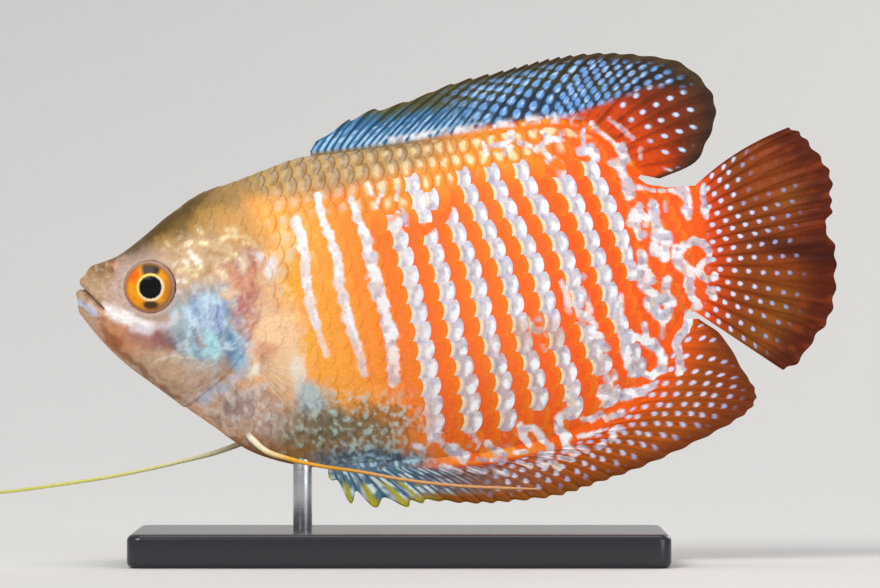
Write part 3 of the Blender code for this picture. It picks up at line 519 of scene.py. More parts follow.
# Pale lines drawn over the body and the feet of the fins: amount, width, places
PALE_LINES = [
    # the first bar, behind the gill cover
    (0.9, 0.8, [(23.4, 7.7), (24.1, 5.2), (24.5, 2.8), (24.7, 0.6), (25.0, -1.3), (25.5, -3.1)]),
    (0.6, 0.6, [(25.5, -3.1), (26.0, -4.7), (26.6, -6.2)]),
    # the second and third, plain and narrow as well
    (0.95, 0.65, [(25.6, 10.4), (26.2, 8.1), (26.8, 6.4)]),
    (0.95, 0.85, [(26.8, 6.4), (27.5, 4.4), (27.9, 1.9), (28.3, -0.4), (28.8, -2.4), (29.4, -4.4)]),
    (0.7, 0.8, [(29.4, -4.4), (30.1, -6.6), (30.5, -8.2)]),
    (0.95, 0.85, [(29.2, 9.9), (29.8, 7.9), (30.5, 6.6), (31.0, 4.4)]),
    (0.95, 1.1, [(31.0, 4.4), (31.5, 1.9), (32.2, -0.4), (32.8, -2.9), (33.3, -4.4)]),
    (0.8, 1.0, [(33.3, -4.4), (33.7, -6.9), (33.6, -8.9)]),
    # orange and silver where the bars join below the nape
    (-1.0, 0.9, [(34.9, 7.2), (36.8, 6.8), (38.3, 7.6), (39.6, 9.4)]),
    (0.8, 0.4, [(30.9, 11.7), (31.3, 10.5)]),
    (0.8, 0.4, [(31.7, 9.3), (32.5, 11.0), (32.6, 11.7)]),
    (0.8, 0.4, [(33.8, 10.0), (34.1, 11.3)]),
    (0.9, 0.5, [(34.5, 8.9), (34.9, 7.4)]),
    # back in front of the dorsal's rear
    (0.8, 0.5, [(42.9, 16.0), (43.3, 14.8)]),
    (0.9, 0.5, [(43.8, 15.7), (45.1, 15.8), (45.8, 16.3), (45.8, 17.1)]),
    (0.8, 0.4, [(45.1, 14.7), (45.8, 15.6)]),
    (0.8, 0.4, [(46.7, 16.0), (47.9, 15.6)]),
    (0.9, 0.5, [(49.1, 17.1), (49.8, 16.4), (51.2, 16.3)]),
    (0.8, 0.5, [(51.2, 17.1), (51.0, 16.3)]),
    (0.9, 0.5, [(48.4, 15.2), (49.7, 16.2)]),
    (0.9, 0.5, [(49.1, 15.3), (49.8, 14.4)]),
    (0.9, 0.5, [(53.4, 17.2), (53.4, 16.0)]),
    (1.0, 0.8, [(53.2, 15.0), (54.2, 15.5), (54.8, 14.3)]),
    (0.8, 0.4, [(54.2, 18.0), (55.1, 17.2), (56.3, 16.2), (57.3, 15.5)]),
    (0.9, 0.7, [(57.3, 15.5), (57.8, 14.3), (57.2, 13.6), (56.3, 13.8)]),
    (0.9, 0.6, [(57.4, 13.6), (57.6, 12.2)]),
    (0.6, 0.3, [(56.1, 18.5), (57.4, 17.5), (58.6, 16.4)]),
    (0.5, 0.3, [(59.4, 15.3), (59.4, 14.3)]),
    # tail stalk, from the top down
    (0.9, 0.7, [(63.9, 11.2), (64.3, 9.9), (64.4, 8.2)]),
    (0.9, 0.6, [(66.0, 11.4), (66.0, 9.9), (66.2, 8.2)]),
    (0.9, 0.8, [(57.9, 11.6), (58.2, 10.4)]),
    (0.8, 0.3, [(59.0, 11.3), (59.9, 11.2)]),
    (0.8, 0.3, [(60.4, 11.1), (60.9, 11.0)]),
    (0.8, 0.3, [(61.4, 11.0), (61.9, 11.0)]),
    (0.8, 0.3, [(62.6, 11.0), (63.1, 10.9)]),
    (0.6, 0.3, [(61.9, 9.8), (62.0, 8.9)]),
    (0.9, 0.5, [(59.3, 9.2), (58.5, 8.2), (58.3, 7.4)]),
    (0.9, 0.5, [(59.4, 8.6), (58.9, 7.3), (59.3, 6.2), (59.8, 6.4)]),
    (0.9, 0.4, [(60.1, 8.2), (59.9, 7.3)]),
    (1.0, 0.7, [(60.7, 9.4), (60.9, 8.0), (61.2, 7.1), (60.9, 6.2)]),
    (1.0, 0.7, [(61.3, 6.0), (62.1, 6.2), (62.0, 4.7), (61.8, 3.9)]),
    (0.9, 0.6, [(60.8, 5.2), (61.0, 4.5)]),
    (0.9, 0.6, [(59.4, 4.3), (59.6, 3.1)]),
    (0.9, 0.6, [(58.6, 2.2), (59.3, 2.8), (60.1, 2.4), (60.6, 1.5)]),
    (0.9, 0.6, [(59.3, 2.0), (59.6, 0.9), (60.4, 0.4), (61.0, -0.1)]),
    (0.9, 0.6, [(62.2, 1.5), (62.1, 0.0)]),
    (1.0, 0.8, [(60.3, -0.8), (61.3, -0.5), (62.7, -0.7)]),
    (1.0, 0.8, [(60.9, -1.4), (61.8, -2.4), (62.3, -1.5)]),
    (0.7, 0.3, [(61.8, -2.6), (61.7, -4.5)]),
    (0.9, 0.8, [(63.1, 4.7), (63.6, 3.4), (64.5, 2.6), (64.5, 1.0), (64.8, -0.2), (65.3, -1.0)]),
    (0.9, 0.6, [
        (63.5, 4.3), (64.0, 5.2), (64.9, 5.7), (65.9, 5.4), (66.6, 4.5),
        (66.5, 3.7), (65.7, 3.2), (65.5, 2.5), (66.3, 1.6), (67.2, 2.0),
    ]),
    (0.9, 0.8, [(66.7, 0.3), (67.1, 0.0)]),
    # flank before the stalk
    (0.9, 0.4, [(59.8, -3.1), (59.9, -4.2)]),
    (0.8, 0.6, [(57.2, -0.2), (57.2, -2.4), (57.5, -4.4)]),
    (1.0, 0.7, [(57.5, -4.4), (57.8, -5.9), (58.2, -7.4)]),
    (1.0, 0.6, [(57.7, -4.3), (59.3, -4.5), (60.8, -5.4)]),
    (1.0, 0.6, [(60.8, -5.2), (61.8, -6.6), (61.8, -7.8)]),
    (1.0, 0.5, [(58.4, -8.3), (59.4, -8.1), (60.5, -8.6), (61.4, -7.9)]),
    (0.7, 0.6, [(51.2, 1.3), (51.7, 0.0), (51.9, -1.6)]),
    (0.7, 0.5, [(52.5, 0.5), (53.0, 1.6), (53.4, 2.0)]),
    (0.7, 0.5, [(53.3, 0.3), (53.8, -0.5), (54.0, -1.6)]),
    (0.6, 0.5, [(52.6, -1.0), (53.1, -2.4), (53.6, -3.7)]),
    (0.6, 0.5, [(54.0, -2.4), (54.7, -3.1), (54.2, -4.1)]),
    (0.9, 0.8, [(55.0, -4.3), (55.7, -5.7)]),
    (1.0, 0.7, [(55.3, -10.5), (56.3, -10.8), (57.4, -10.6), (58.6, -10.3), (59.7, -10.0)]),
    (0.9, 0.5, [(59.9, -9.9), (60.8, -9.5)]),
    # belly and the anal fin's foot
    (1.0, 0.8, [(52.1, -10.4), (52.7, -11.5), (52.2, -12.2)]),
    (1.0, 0.7, [(51.9, -12.1), (50.9, -13.0), (51.0, -14.3), (51.7, -14.9)]),
    (0.9, 0.6, [(51.2, -14.9), (51.6, -16.0), (52.6, -16.7)]),
    (0.9, 0.7, [(46.9, -13.7), (47.1, -14.7), (47.7, -15.6)]),
    (0.9, 0.6, [(47.1, -13.9), (48.2, -13.9), (49.2, -15.1), (50.0, -16.0)]),
    (0.9, 0.7, [(50.0, -15.8), (49.8, -16.9), (49.1, -16.7)]),
    (0.9, 0.6, [(43.5, -15.6), (44.4, -16.4), (45.2, -16.7)]),
    (1.0, 1.2, [(39.6, -16.2), (40.9, -17.1)]),
    (0.8, 0.4, [(46.2, -16.5), (47.4, -16.4)]),
    (0.8, 0.4, [(42.3, -17.2), (43.1, -17.3)]),
    (0.8, 0.4, [(43.8, -17.3), (45.2, -17.3)]),
    (0.9, 0.5, [(47.0, -17.6), (47.9, -18.0)]),
    (0.9, 0.5, [(48.8, -17.6), (49.5, -17.9)]),
    (0.9, 0.5, [(50.3, -17.6), (50.9, -18.2)]),
    (0.8, 0.5, [(51.1, -17.0), (52.1, -17.3)]),
    (0.8, 0.6, [(38.7, -18.1), (40.5, -18.5)]),
    (0.8, 0.5, [(41.5, -18.2), (43.1, -18.5)]),
    (0.8, 0.5, [(44.3, -18.5), (45.4, -18.8)]),
    (0.9, 0.6, [(36.0, -15.8), (36.7, -16.2)]),
    (0.9, 0.7, [(37.6, -14.8), (38.1, -14.5)]),
    (0.9, 0.5, [(53.3, -12.9), (54.2, -13.0), (55.3, -12.5), (55.9, -13.0)]),
    (0.9, 0.5, [(53.0, -14.9), (54.0, -14.7), (55.3, -14.2)]),
    (0.8, 0.5, [(53.1, -15.9), (53.8, -16.3)]),
    (0.8, 0.5, [(54.7, -15.9), (55.5, -15.7)]),
    (0.9, 0.5, [(56.4, -14.4), (56.9, -13.9), (57.4, -14.1)]),
    (0.9, 0.5, [(56.3, -15.2), (56.6, -14.7)]),
    (0.9, 0.5, [(56.4, -12.7), (57.4, -12.4)]),
    (1.0, 0.6, [(64.5, -2.1), (64.2, -3.7), (63.1, -4.9)]),
    (0.9, 0.6, [(63.1, -5.0), (63.4, -6.1), (63.6, -7.1), (63.5, -8.1)]),
]

# Clouds of colour on the head, breast and belly: colour, amount, middle, radii, turn in degrees
CLOUDS = [
    ("#6E5424", 0.9, (9.5, 6.2), (7.3, 1.8), 33),  # forehead
    ("#54401C", 0.8, (8.6, 6.9), (8.2, 0.9), 36),
    ("#BC8E46", 0.7, (14.5, 7.7), (2.6, 1.7), 30),  # crown
    ("#D2963E", 0.7, (17.5, 6.8), (2.6, 2.1), 0),
    ("#B48A52", 0.7, (9.9, 4.9), (1.8, 1.3), 40),
    ("#A8784C", 0.6, (4.0, 2.8), (1.7, 1.0), 20),  # in front of the eye
    ("#80603E", 0.7, (2.6, 2.7), (1.0, 0.6), 0),
    ("#D0702C", 0.7, (4.6, 3.0), (0.4, 0.5), 0),
    ("#B0906C", 0.8, (2.3, 0.7), (1.9, 1.7), 0),  # snout
    ("#C6A296", 0.8, (5.3, 0.3), (1.1, 2.9), 0),
    ("#C8B2AA", 0.7, (8.2, 0.8), (3.9, 3.9), 0),  # ring round the eye
    ("#CC885E", 0.9, (5.0, -4.3), (3.4, 1.5), -42),  # jaw
    ("#A2562E", 0.8, (4.4, -5.0), (1.0, 0.8), 0),
    ("#CAA888", 0.9, (11.1, -8.0), (4.6, 2.3), -24),  # lower cheek
    ("#B07C6C", 0.9, (8.0, -4.7), (2.6, 1.0), -12),
    ("#8E5A58", 0.8, (10.3, -4.4), (1.9, 1.5), 0),
    ("#6E3E44", 0.7, (10.9, -5.0), (0.9, 0.9), 0),
    ("#D8B488", 0.8, (13.8, 3.5), (4.0, 2.9), 10),  # upper cheek
    ("#DCA88E", 0.8, (16.5, 0.3), (2.6, 3.0), 0),
    ("#9DB2BE", 0.95, (14.2, -3.3), (3.6, 4.4), -14),  # blue of the gill cover
    ("#A8C0C2", 0.8, (11.1, -2.4), (0.9, 1.7), 0),
    ("#B8CCE6", 0.9, (13.6, -1.8), (1.8, 1.8), 0),
    ("#A2B6DE", 0.8, (15.5, -2.4), (0.9, 2.0), -8),
    ("#AEE4EA", 0.9, (14.7, -5.2), (0.8, 1.5), 0),
    ("#A8D4E0", 0.8, (13.1, -6.0), (1.0, 0.8), 0),
    ("#B49C98", 0.8, (13.6, -5.0), (0.6, 0.6), 0),
    ("#8CBCDC", 0.95, (17.7, -6.0), (1.1, 2.3), 10),
    ("#5C8CB8", 0.8, (16.6, -5.2), (0.5, 1.5), 0),
    ("#D89474", 0.85, (18.0, 1.2), (1.4, 2.5), 0),  # red along the gill cover's edge
    ("#C06E66", 0.9, (18.3, -2.4), (1.2, 2.5), 10),
    ("#B8A6AE", 0.8, (17.7, -2.8), (0.6, 0.8), 0),
    ("#CDB4AE", 0.8, (17.7, 3.3), (0.8, 0.9), 0),
    ("#ECC896", 0.9, (16.6, 0.0), (1.0, 0.6), 10),
    ("#E2AE86", 0.85, (20.4, 0.6), (1.5, 3.2), 0),  # behind the gill cover
    ("#F4AC3C", 0.85, (22.9, 1.2), (1.1, 4.6), -5),
    ("#F8CFA4", 0.95, (21.4, -5.4), (3.4, 4.6), 0),
    ("#F6D49C", 0.5, (21.7, 3.6), (1.2, 3.2), -5),
    ("#F6AE34", 0.8, (24.7, -5.4), (0.7, 2.6), -14),
    ("#E4DCE2", 0.9, (19.5, 4.0), (0.5, 0.7), 0),
    ("#EAE4DE", 0.9, (20.7, 3.0), (0.4, 1.4), -5),
    ("#D89A7C", 0.8, (20.1, -5.8), (1.3, 0.8), 0),  # round the pectoral's root
    ("#F6F2DC", 0.95, (19.2, -7.7), (1.2, 0.7), 40),
    ("#F4ECE0", 0.95, (23.5, -8.2), (0.7, 2.0), 0),
    ("#C4A692", 0.95, (18.4, -12.3), (7.4, 3.2), -20),  # breast
    ("#9E8884", 0.7, (17.4, -11.8), (1.6, 1.4), 0),
    ("#7E7678", 0.6, (16.5, -11.3), (0.5, 0.8), 30),
    ("#DCCAC0", 0.7, (19.0, -10.0), (1.9, 0.7), 20),
    ("#B89A94", 0.6, (20.8, -13.5), (1.9, 1.0), 0),
    ("#A2744E", 0.85, (20.1, -16.5), (5.2, 1.1), -14),  # belly
    ("#8E8670", 0.85, (26.2, -13.2), (3.6, 2.2), -10),
    ("#B8CCD0", 0.95, (24.9, -10.6), (1.9, 1.6), -20),
    ("#82704C", 0.85, (24.4, -15.3), (3.6, 1.3), -8),
    ("#A0703A", 0.8, (32.6, -12.9), (3.6, 1.5), -14),
    ("#7C7058", 0.85, (29.4, -14.4), (5.6, 1.8), -10),
    ("#A87C3C", 0.8, (24.6, -16.6), (2.2, 0.7), -5),
    ("#567A90", 0.95, (31.0, -17.5), (6.4, 1.7), 0),
]

# Lines of colour on the head: colour, amount, width, places
HEAD_LINES = [
    ("#C6CEEA", 0.95, 0.7, [(0.8, -0.7), (1.6, -1.3), (2.4, -2.0)]),  # lower lip, a painted highlight along it
    ("#FCF6F4", 1.0, 2.3, [(3.9, -1.5), (5.2, -2.2), (6.7, -2.9), (8.0, -3.2)]),  # under the eye
    ("#DCCED4", 0.75, 1.6, [(6.6, -3.5), (8.4, -3.7), (9.8, -3.2), (11.0, -2.2)]),
    ("#96603A", 0.8, 0.9, [(3.1, -3.5), (5.0, -5.7), (8.0, -8.7), (10.9, -11.0)]),  # throat
    ("#E2CCBA", 0.8, 0.4, [(8.6, -7.2), (10.0, -6.3), (12.0, -6.4), (14.6, -7.6)]),  # cheek plate
    ("#A88468", 0.6, 0.4, [(8.4, -7.8), (9.6, -9.0), (12.2, -10.2), (14.8, -9.6), (16.2, -8.2)]),
    ("#B4655A", 0.6, 0.5, [(18.5, 4.7), (19.1, 2.1), (19.3, -0.5), (19.2, -2.8), (18.3, -4.4)]),  # gills
    ("#B0BED2", 0.75, 1.7, [(13.7, -10.7), (15.7, -9.7), (17.6, -8.4)]),
    ("#6C6E92", 0.7, 0.3, [(15.1, -0.5), (15.4, -3.3), (15.6, -5.2)]),  # dark lines in the blue
    ("#7480A0", 0.6, 0.25, [(14.2, -0.3), (14.6, -3.1)]),
    ("#54708E", 0.7, 0.3, [(16.4, -2.8), (16.8, -5.8)]),
    ("#5E7C98", 0.7, 0.25, [(18.0, -4.5), (17.7, -7.0)]),
    ("#6A8898", 0.6, 0.25, [(12.8, -0.5), (13.2, -3.7)]),
    ("#9C7C7C", 0.7, 0.4, [(16.1, -5.8), (16.4, -8.1)]),
]

# Flecks on the head and breast: pale and dark colour, amount, middle, radii, size and stretch upwards
FLECKS = [
    ("#FFF0C0", "#A87C48", 0.85, (14.6, 4.2), (4.6, 2.8), 0.75, 0.8),  # behind the eye
    ("#FBF8EE", "#B89C74", 0.80, (12.2, 2.6), (1.9, 2.6), 0.70, 0.9),
    ("#CDE6F2", "#5C7FA4", 0.75, (14.8, -3.4), (4.4, 4.6), 0.50, 2.4),  # on the blue
    ("#E6C4B4", "#A8524E", 0.60, (18.2, 0.0), (1.9, 5.0), 0.60, 1.5),  # on the red
    ("#E0CCBC", "#A07A66", 0.28, (10.5, -8.0), (6.0, 3.0), 0.70, 1.0),  # on the cheek
    ("#E8D6CC", "#7C6C6C", 0.60, (19.0, -12.0), (7.0, 3.6), 0.55, 1.2),  # on the breast
    ("#FFDC96", "#D8862A", 0.50, (22.6, 2.6), (3.2, 6.5), 0.80, 1.4),  # behind the gill cover
    ("#C8D8D0", "#5E5440", 0.75, (29.5, -13.4), (8.5, 3.6), 0.36, 1.3),  # on the belly
    ("#B4D8E8", "#20364A", 0.90, (31.2, -17.4), (6.2, 1.9), 0.45, 0.8),
    ("#D8BCA8", "#8C6A54", 0.40, (4.0, 0.5), (4.0, 4.0), 0.40, 1.0),  # on the snout
]


def silver_at(column, row):
    """How silver a scale is, by its place in the lattice: the bars, with their ends and the maze."""
    bar = 2 * np.round(column / 2)
    silver = step_up(np.abs(column - bar), 0.75, 0.35)
    top = np.interp(bar, BAR_TOPS[:, 0], BAR_TOPS[:, 1])
    foot = np.interp(bar, BAR_FEET[:, 0], BAR_FEET[:, 1])
    silver = silver * step_up(row, top - 0.6, top + 0.3) * step_up(row, foot + 0.8, foot - 0.6)
    for amount, middle, radii in MAZE:
        silver = silver + (amount - silver) * patch(column, row, middle, radii, 0, 0.35)
    return np.clip(silver, 0, 1)


def scallop(column, row):
    """Which scale shows at a place, and how far along to its edge and aside of its middle that is."""
    aside = row - np.round(row)
    leant = column + COLUMN_LEAN * aside
    shown = np.ceil(leant - SCALE_REACH + SCALE_CURVE * (aside / SCALE_HALF) ** 2)
    return shown, leant - shown, aside


def gill_edge(z):
    """How far back the gill cover reaches at a level."""
    edge = flank([GILL_STATION], np.linspace(0, 1, 60))[0]
    return np.interp(z, edge[::-1, 2], edge[::-1, 0])


def nape_share(x, z):
    """1 on the brown scales of the nape and back, 0 on the flank."""
    return step_up(z - 0.27 * np.maximum(x - 25, 0), 8.8, 11.8) * step_up(x, 44, 34)


def teal_share(x, z):
    """1 on the dark belly whose scales have only a teal spot, 0 on the flank."""
    return step_up(z + 0.16 * (x - 30), -8.4, -11.8) * step_up(x, 40, 33)


def cloud(x, z, middle, radii, turn=0.0):
    """1 in the middle of an ellipse, a half near its rim and 0 a third further out."""
    return patch(x, z, middle, (radii[0] * 1.35, radii[1] * 1.35), turn, 0.6)


def ground_colour(x, z):
    """The colour under the scales' pattern, and all of the head's: washes, clouds, lines and flecks."""
    at_x, at_z = x, z
    x = at_x + 0.34 * grain(at_x, at_z, 1.0, 1) + 0.16 * grain(at_x, at_z, 0.4, 2)
    z = at_z + 0.34 * grain(at_x, at_z, 1.0, 3) + 0.16 * grain(at_x, at_z, 0.4, 4)
    flesh = tinted(x, "#FF7428")
    flesh = washed(flesh, (
        (step_up(x + 0.3 * z, 37, 24), "#FFAA44"),
        (0.8 * step_up(x, 42, 56), "#F9560F"),
        (0.7 * step_up(z, -6, -13) * step_up(x, 34, 42), "#F0600E"),
        (0.6 * step_up(z, 11.0, 14.0) * step_up(x, 54, 46), "#F79A26"),
    ))
    gold = np.maximum(patch(x, z, (35, 11.5), (8, 4.2), 15, 0.6), patch(x, z, (42, 15), (8, 2.8), 0, 0.6))
    flesh = lay(flesh, 0.7 * gold, "#F2A236")
    yellow = step_up(z, -14.6, -16.6) * step_up(x, 36, 42) * step_up(x, 58, 52)
    flesh = washed(flesh, (
        (0.8 * yellow * step_up(grain(x, z, 0.9, 19), -0.3, 0.4), "#F8A23C"),
        (0.9 * nape_share(x, z), "#8E7648"),
        (0.8 * step_up(z - 0.12 * (x - 25), 13.2, 14.8) * step_up(x, 40, 33), "#857048"),
    ))
    front = step_up(x - gill_edge(z), 2.6, -0.6)
    head = lay(tinted(x, "#BE9A80"), step_up(z - 0.4 * x, -1.5, 2.5), "#AE8854")
    colour = over(flesh, front, head)
    for shade, amount, middle, radii, turn in CLOUDS:
        colour = lay(colour, amount * cloud(x, z, middle, radii, turn), shade)
    for shade, amount, width, line in HEAD_LINES:
        colour = lay(colour, amount * stroke(x, z, line, width, 0.8), shade)
    for number, (pale, dark, amount, middle, radii, size, tall) in enumerate(FLECKS):
        speck = grain(at_x + 0.25 * at_z, at_z / tall, size, 40 + number)
        speck = speck + 0.5 * grain(at_x, at_z, 0.45 * size, 60 + number)
        here = amount * cloud(x, z, middle, radii)
        colour = lay(colour, here * step_up(speck, 0.15, 0.75), pale)
        colour = lay(colour, 0.7 * here * step_up(speck, -0.3, -0.9), dark)
    # A dark line along the mouth's line: painted shade in the crease between the lips, over the slit sunk in
    # the skin
    line = 0.75 * bump(from_line(at_x, at_z, MOUTH_LINE), 0, 0.13) * step_up(at_x, 3.8, 3.0)
    return lay(colour, line, "#7A4C3A")


def pale_lines(x, z, silver):
    """How silver a place is once the pale lines are drawn. An amount less than 0 rubs out."""
    broad = 1.2 + 0.4 * step_up(x, 56.5, 58) * step_up(x, 65.5, 63.5)
    for amount, width, line in PALE_LINES:
        edge = width * (broad + 0.5 * grain(x, z, 0.8, 7) + 0.25 * grain(x, z, 0.35, 6))
        drawn = abs(amount) * step_up(from_line(x, z, line), edge * 0.58, edge * 0.42)
        silver = silver + (float(amount > 0) - silver) * drawn
    return silver


def pearl(x, z):
    """The lilac grey of the pale lines, mottled with white and cream."""
    colour = lay(tinted(x, "#CBC3CE"), 0.7 * step_up(grain(x, z, 0.4, 9), 0.1, 0.6), "#A096A8")
    colour = lay(colour, 0.7 * step_up(grain(x, z, 0.7, 12), 0.2, 0.7), "#E8D2B8")
    colour = lay(colour, 0.8 * step_up(x, 35, 26), "#F2E8E4")
    return lay(colour, step_up(grain(x, z, 0.65, 8), -0.1, 0.3), "#F6F4F6")


def scale_colour(x, z, ground, along, aside, edge, silver):
    """A scale's colours by the place over it: along to its free edge, aside across it.

    An orange scale is pinker in front and yellower towards its edge. A silver one has a cream dash in
    front, beside the scale before it, then lilac grey, and a rounded white blob in its lower rear
    part. An orange scale above NET_EDGE has a pale oval and a browner edge. On the nape a scale has a
    pale crescent inside a thin dark edge, and on the belly only a ragged teal spot.
    """
    nape, teal = nape_share(x, z), teal_share(x, z)
    plain = (1 - nape) * (1 - teal)
    orange = lay(ground, 0.35 * plain * step_up(along, 0.0, -0.45) * step_up(x, 24, 36), "#FF5A38")
    orange = lay(orange, 0.40 * plain * step_up(edge, 0.5, 0.1) * step_up(x, 24, 34), "#F9901E")
    spotty = step_up(x, 30, 42)
    low = step_up(z - 0.1 * (x - 40), -3, -8) * step_up(x, 36, 42)
    dull = patch(x, z, (48.6, -4.0), (5.5, 2.4), 0, 0.5)
    lilac = lay(tinted(x, "#D4CDDA"), 1 - spotty, "#E6DEDE")
    lilac = washed(lilac, (
        (0.6 * low, "#C8A49C"),
        (0.6 * step_up(grain(x, z, 0.4, 9), 0.1, 0.7), "#A69EB0"),
        (0.5 * step_up(grain(x, z, 0.5, 15), 0.2, 0.7), "#EFE6E0"),
        (0.8 * dull, "#CE9E8C"),
    ))
    lilac = over(lilac, np.maximum(0.9 * teal, 0.45 * nape), ground)
    front = along + 1 - SCALE_REACH + SCALE_CURVE * (aside / SCALE_HALF) ** 2
    shade = lay(lilac, 0.4 * plain * spotty * bump(front, 0.34, 0.08), "#9088A0")
    cream = plain * (0.25 + 0.6 * spotty) * step_up(front, 0.24, 0.12) * step_up(aside, 0.5, 0.3)
    shade = lay(shade, cream, "#FFEBB4")
    ragged = 0.14 * grain(x, z, 0.6, 33), 0.2 * grain(x, z, 0.6, 34)
    blob = patch(along + ragged[0], aside + ragged[1], (0.36, 0.08), (0.26, 0.42), 0, 0.4)
    blob = (0.35 + 0.6 * spotty) * blob * (1 - 0.8 * nape) * (1 - teal) * (1 - 0.6 * dull)
    white = lay(shade, blob, "#F9FAFB")
    spot = patch(along + 1.3 * ragged[0], aside + 1.3 * ragged[1], (0.34, 0.06), (0.25, 0.36), 20, 0.6)
    spot = spot * step_up(grain(x, z, 0.38, 38), -0.6, 0.1)
    white = lay(white, 0.8 * teal * spot, "#C6DAD4")
    netted = step_up(z - np.interp(x, NET_EDGE[:, 0], NET_EDGE[:, 1]), -0.5, 0.8) * step_up(x, 57, 50)
    netted = netted * (1 - 0.35 * nape) * step_up(x, 19.5, 21.5)
    orange = lay(orange, 0.5 * netted * step_up(edge, 0.22, 0.02), "#B4701C")
    oval = patch(along + ragged[0], aside + ragged[1], (0.02, 0.0), (0.30, 0.42), 0, 0.5)
    orange = lay(orange, 0.6 * netted * oval * step_up(x, 33, 27), "#D6C6B0")
    orange = lay(orange, 0.9 * netted * oval * step_up(x, 27, 33), "#FCE6B8")
    colour = over(orange, silver, white)
    crescent = step_up(edge, 0.46, 0.26) * step_up(edge, 0.05, 0.13)
    crescent = crescent * step_up(grain(x, z, 0.8, 37), -0.9, 0.3)
    colour = washed(colour, (
        (0.5 * nape * step_up(along, 0.2, -0.1), "#D8B070"),
        (0.35 * nape * crescent, "#CFC4BC"),
        (0.75 * teal * spot * (1 - silver), "#BCD2C8"),
    ))
    return lay(colour, (0.06 + 0.4 * nape + 0.3 * teal) * step_up(edge, 0.1, 0.0), "#5A4A3C")


def body_colour(x, z, along, aside, edge, silver, behind):
    """The body's colours: the ground's in front, and the scales' pattern rising behind the gill cover."""
    ground = ground_colour(x, z)
    silver = step_up(silver + 2 * silver * (1 - silver) * grain(x, z, 0.55, 31), 0.3, 0.7)
    scaled = scale_colour(x, z, ground, along, aside, edge, silver)
    breast = cloud(x, z, (18.8, -11.0), (6.5, 5.5), -20)
    shown = behind * step_up(x - gill_edge(z), 0.0, 3.0) * (1 - 0.75 * breast)
    colour = over(ground, shown, scaled)
    cell = step_up(edge, 0.12, 0.0) * step_up(x, 9.0, 12.0) * (1 - shown)
    colour = lay(colour, 0.22 * cell, "#7C6460")
    colour = over(ground, pale_lines(x, z, 1 + 0 * x), colour)
    return over(colour, pale_lines(x, z, 0 * x), pearl(x, z))


def behind_gills(u, share):
    """0 on the head and 1 behind it: the cover's edge, and the nape over the cover's upper end."""
    return np.where(share < 0.2, step_up(u, 4.6, 5.6), step_up(u, GILL_STATION - 0.02, GILL_STATION + 0.02))


# Materials

def node(tree, kind, settings=None, links=None):
    """Adds a shader node, sets its properties or sockets, and links sockets to other nodes' outputs."""
    made = tree.nodes.new(kind)
    for key, value in (settings or {}).items():
        if isinstance(key, int) or key in made.inputs:
            made.inputs[key].default_value = value
        else:
            setattr(made, key, value)
    for key, source in (links or {}).items():
        tree.links.new(source, made.inputs[key])
    return made


def wire(tree, shader, links):
    """Links a shader's sockets to other nodes' outputs."""
    for key, source in links.items():
        tree.links.new(source, shader.inputs[key])


def finish_named(name, values):
    """A new material with its tree, its Principled shader with values set, and its Object coordinates."""
    made = bpy.data.materials.new(name)
    made.use_nodes = True
    tree = made.node_tree
    shader = tree.nodes["Principled BSDF"]
    for key, value in values.items():
        shader.inputs[key].default_value = value
    return made, tree, shader, node(tree, "ShaderNodeTexCoord").outputs["Object"]


def attribute(tree, name):
    """The outputs of the node that reads an attribute of the piece."""
    return node(tree, "ShaderNodeAttribute", {"attribute_name": name}).outputs


def noise(tree, place, size_mm, detail):
    """Noise with a grain size in millimetres."""
    settings = {"Scale": 1 / (size_mm * MM), "Detail": detail}
    return node(tree, "ShaderNodeTexNoise", settings, {"Vector": place}).outputs["Fac"]


def ranged(tree, source, low, high, reach=(0.0, 1.0)):
    """A value spread over the range from low to high."""
    settings = {"From Min": reach[0], "From Max": reach[1], "To Min": low, "To Max": high}
    return node(tree, "ShaderNodeMapRange", settings, {"Value": source}).outputs["Result"]


def mixed(tree, share, first, second):
    """A colour between two by a share."""
    settings = {"data_type": "RGBA", 6: (*first, 1), 7: (*second, 1)}
    return node(tree, "ShaderNodeMix", settings, {0: share}).outputs[2]


def painted(tree, place, grain_mm, depth):
    """The paint attribute, lightened and darkened by fine noise of a grain size in millimetres."""
    level = ranged(tree, noise(tree, place, grain_mm, 3.0), 1 - depth, 1 + depth, (0.3, 0.7))
    links = {0: attribute(tree, "paint")["Color"], "Scale": level}
    return node(tree, "ShaderNodeVectorMath", {"operation": "SCALE"}, links).outputs["Vector"]


def relief(tree, place, sizes, depth_mm):
    """A bump normal from noise of two grain sizes in millimetres."""
    coarse, fine = (noise(tree, place, size, 2.0) for size in sizes)
    height = node(tree, "ShaderNodeMath", {"operation": "ADD"}, {0: coarse, 1: fine}).outputs[0]
    settings = {"Strength": 1.0, "Distance": depth_mm * MM}
    return node(tree, "ShaderNodeBump", settings, {"Height": height}).outputs["Normal"]


def skin_finish(name, grain_mm):
    """Fish skin: pigment under a film of slime, with guanine plates that shine where it is silver."""
    made, tree, shader, place = finish_named(name, {
        "IOR": 1.36, "Specular IOR Level": 0.3, "Coat Weight": 0.06, "Coat Roughness": 0.2,
    })
    wire(tree, shader, {
        "Base Color": painted(tree, place, grain_mm, 0.10),
        "Roughness": ranged(tree, attribute(tree, "shine")["Fac"], 0.5, 0.36),
        "Normal": relief(tree, place, (0.45, 0.13), 0.012),
    })
    return made


def fin_finish(name, roughness=0.5):
    """Fin web: thin skin over bony rays, matt between them and damp."""
    made, tree, shader, place = finish_named(name, {
        "Roughness": roughness, "IOR": 1.36, "Specular IOR Level": 0.2,
        "Coat Weight": 0.04, "Coat Roughness": 0.25,
    })
    wire(tree, shader, {
        "Base Color": painted(tree, place, 0.3, 0.10),
        "Normal": relief(tree, place, (0.4, 0.12), 0.015),
    })
    return made


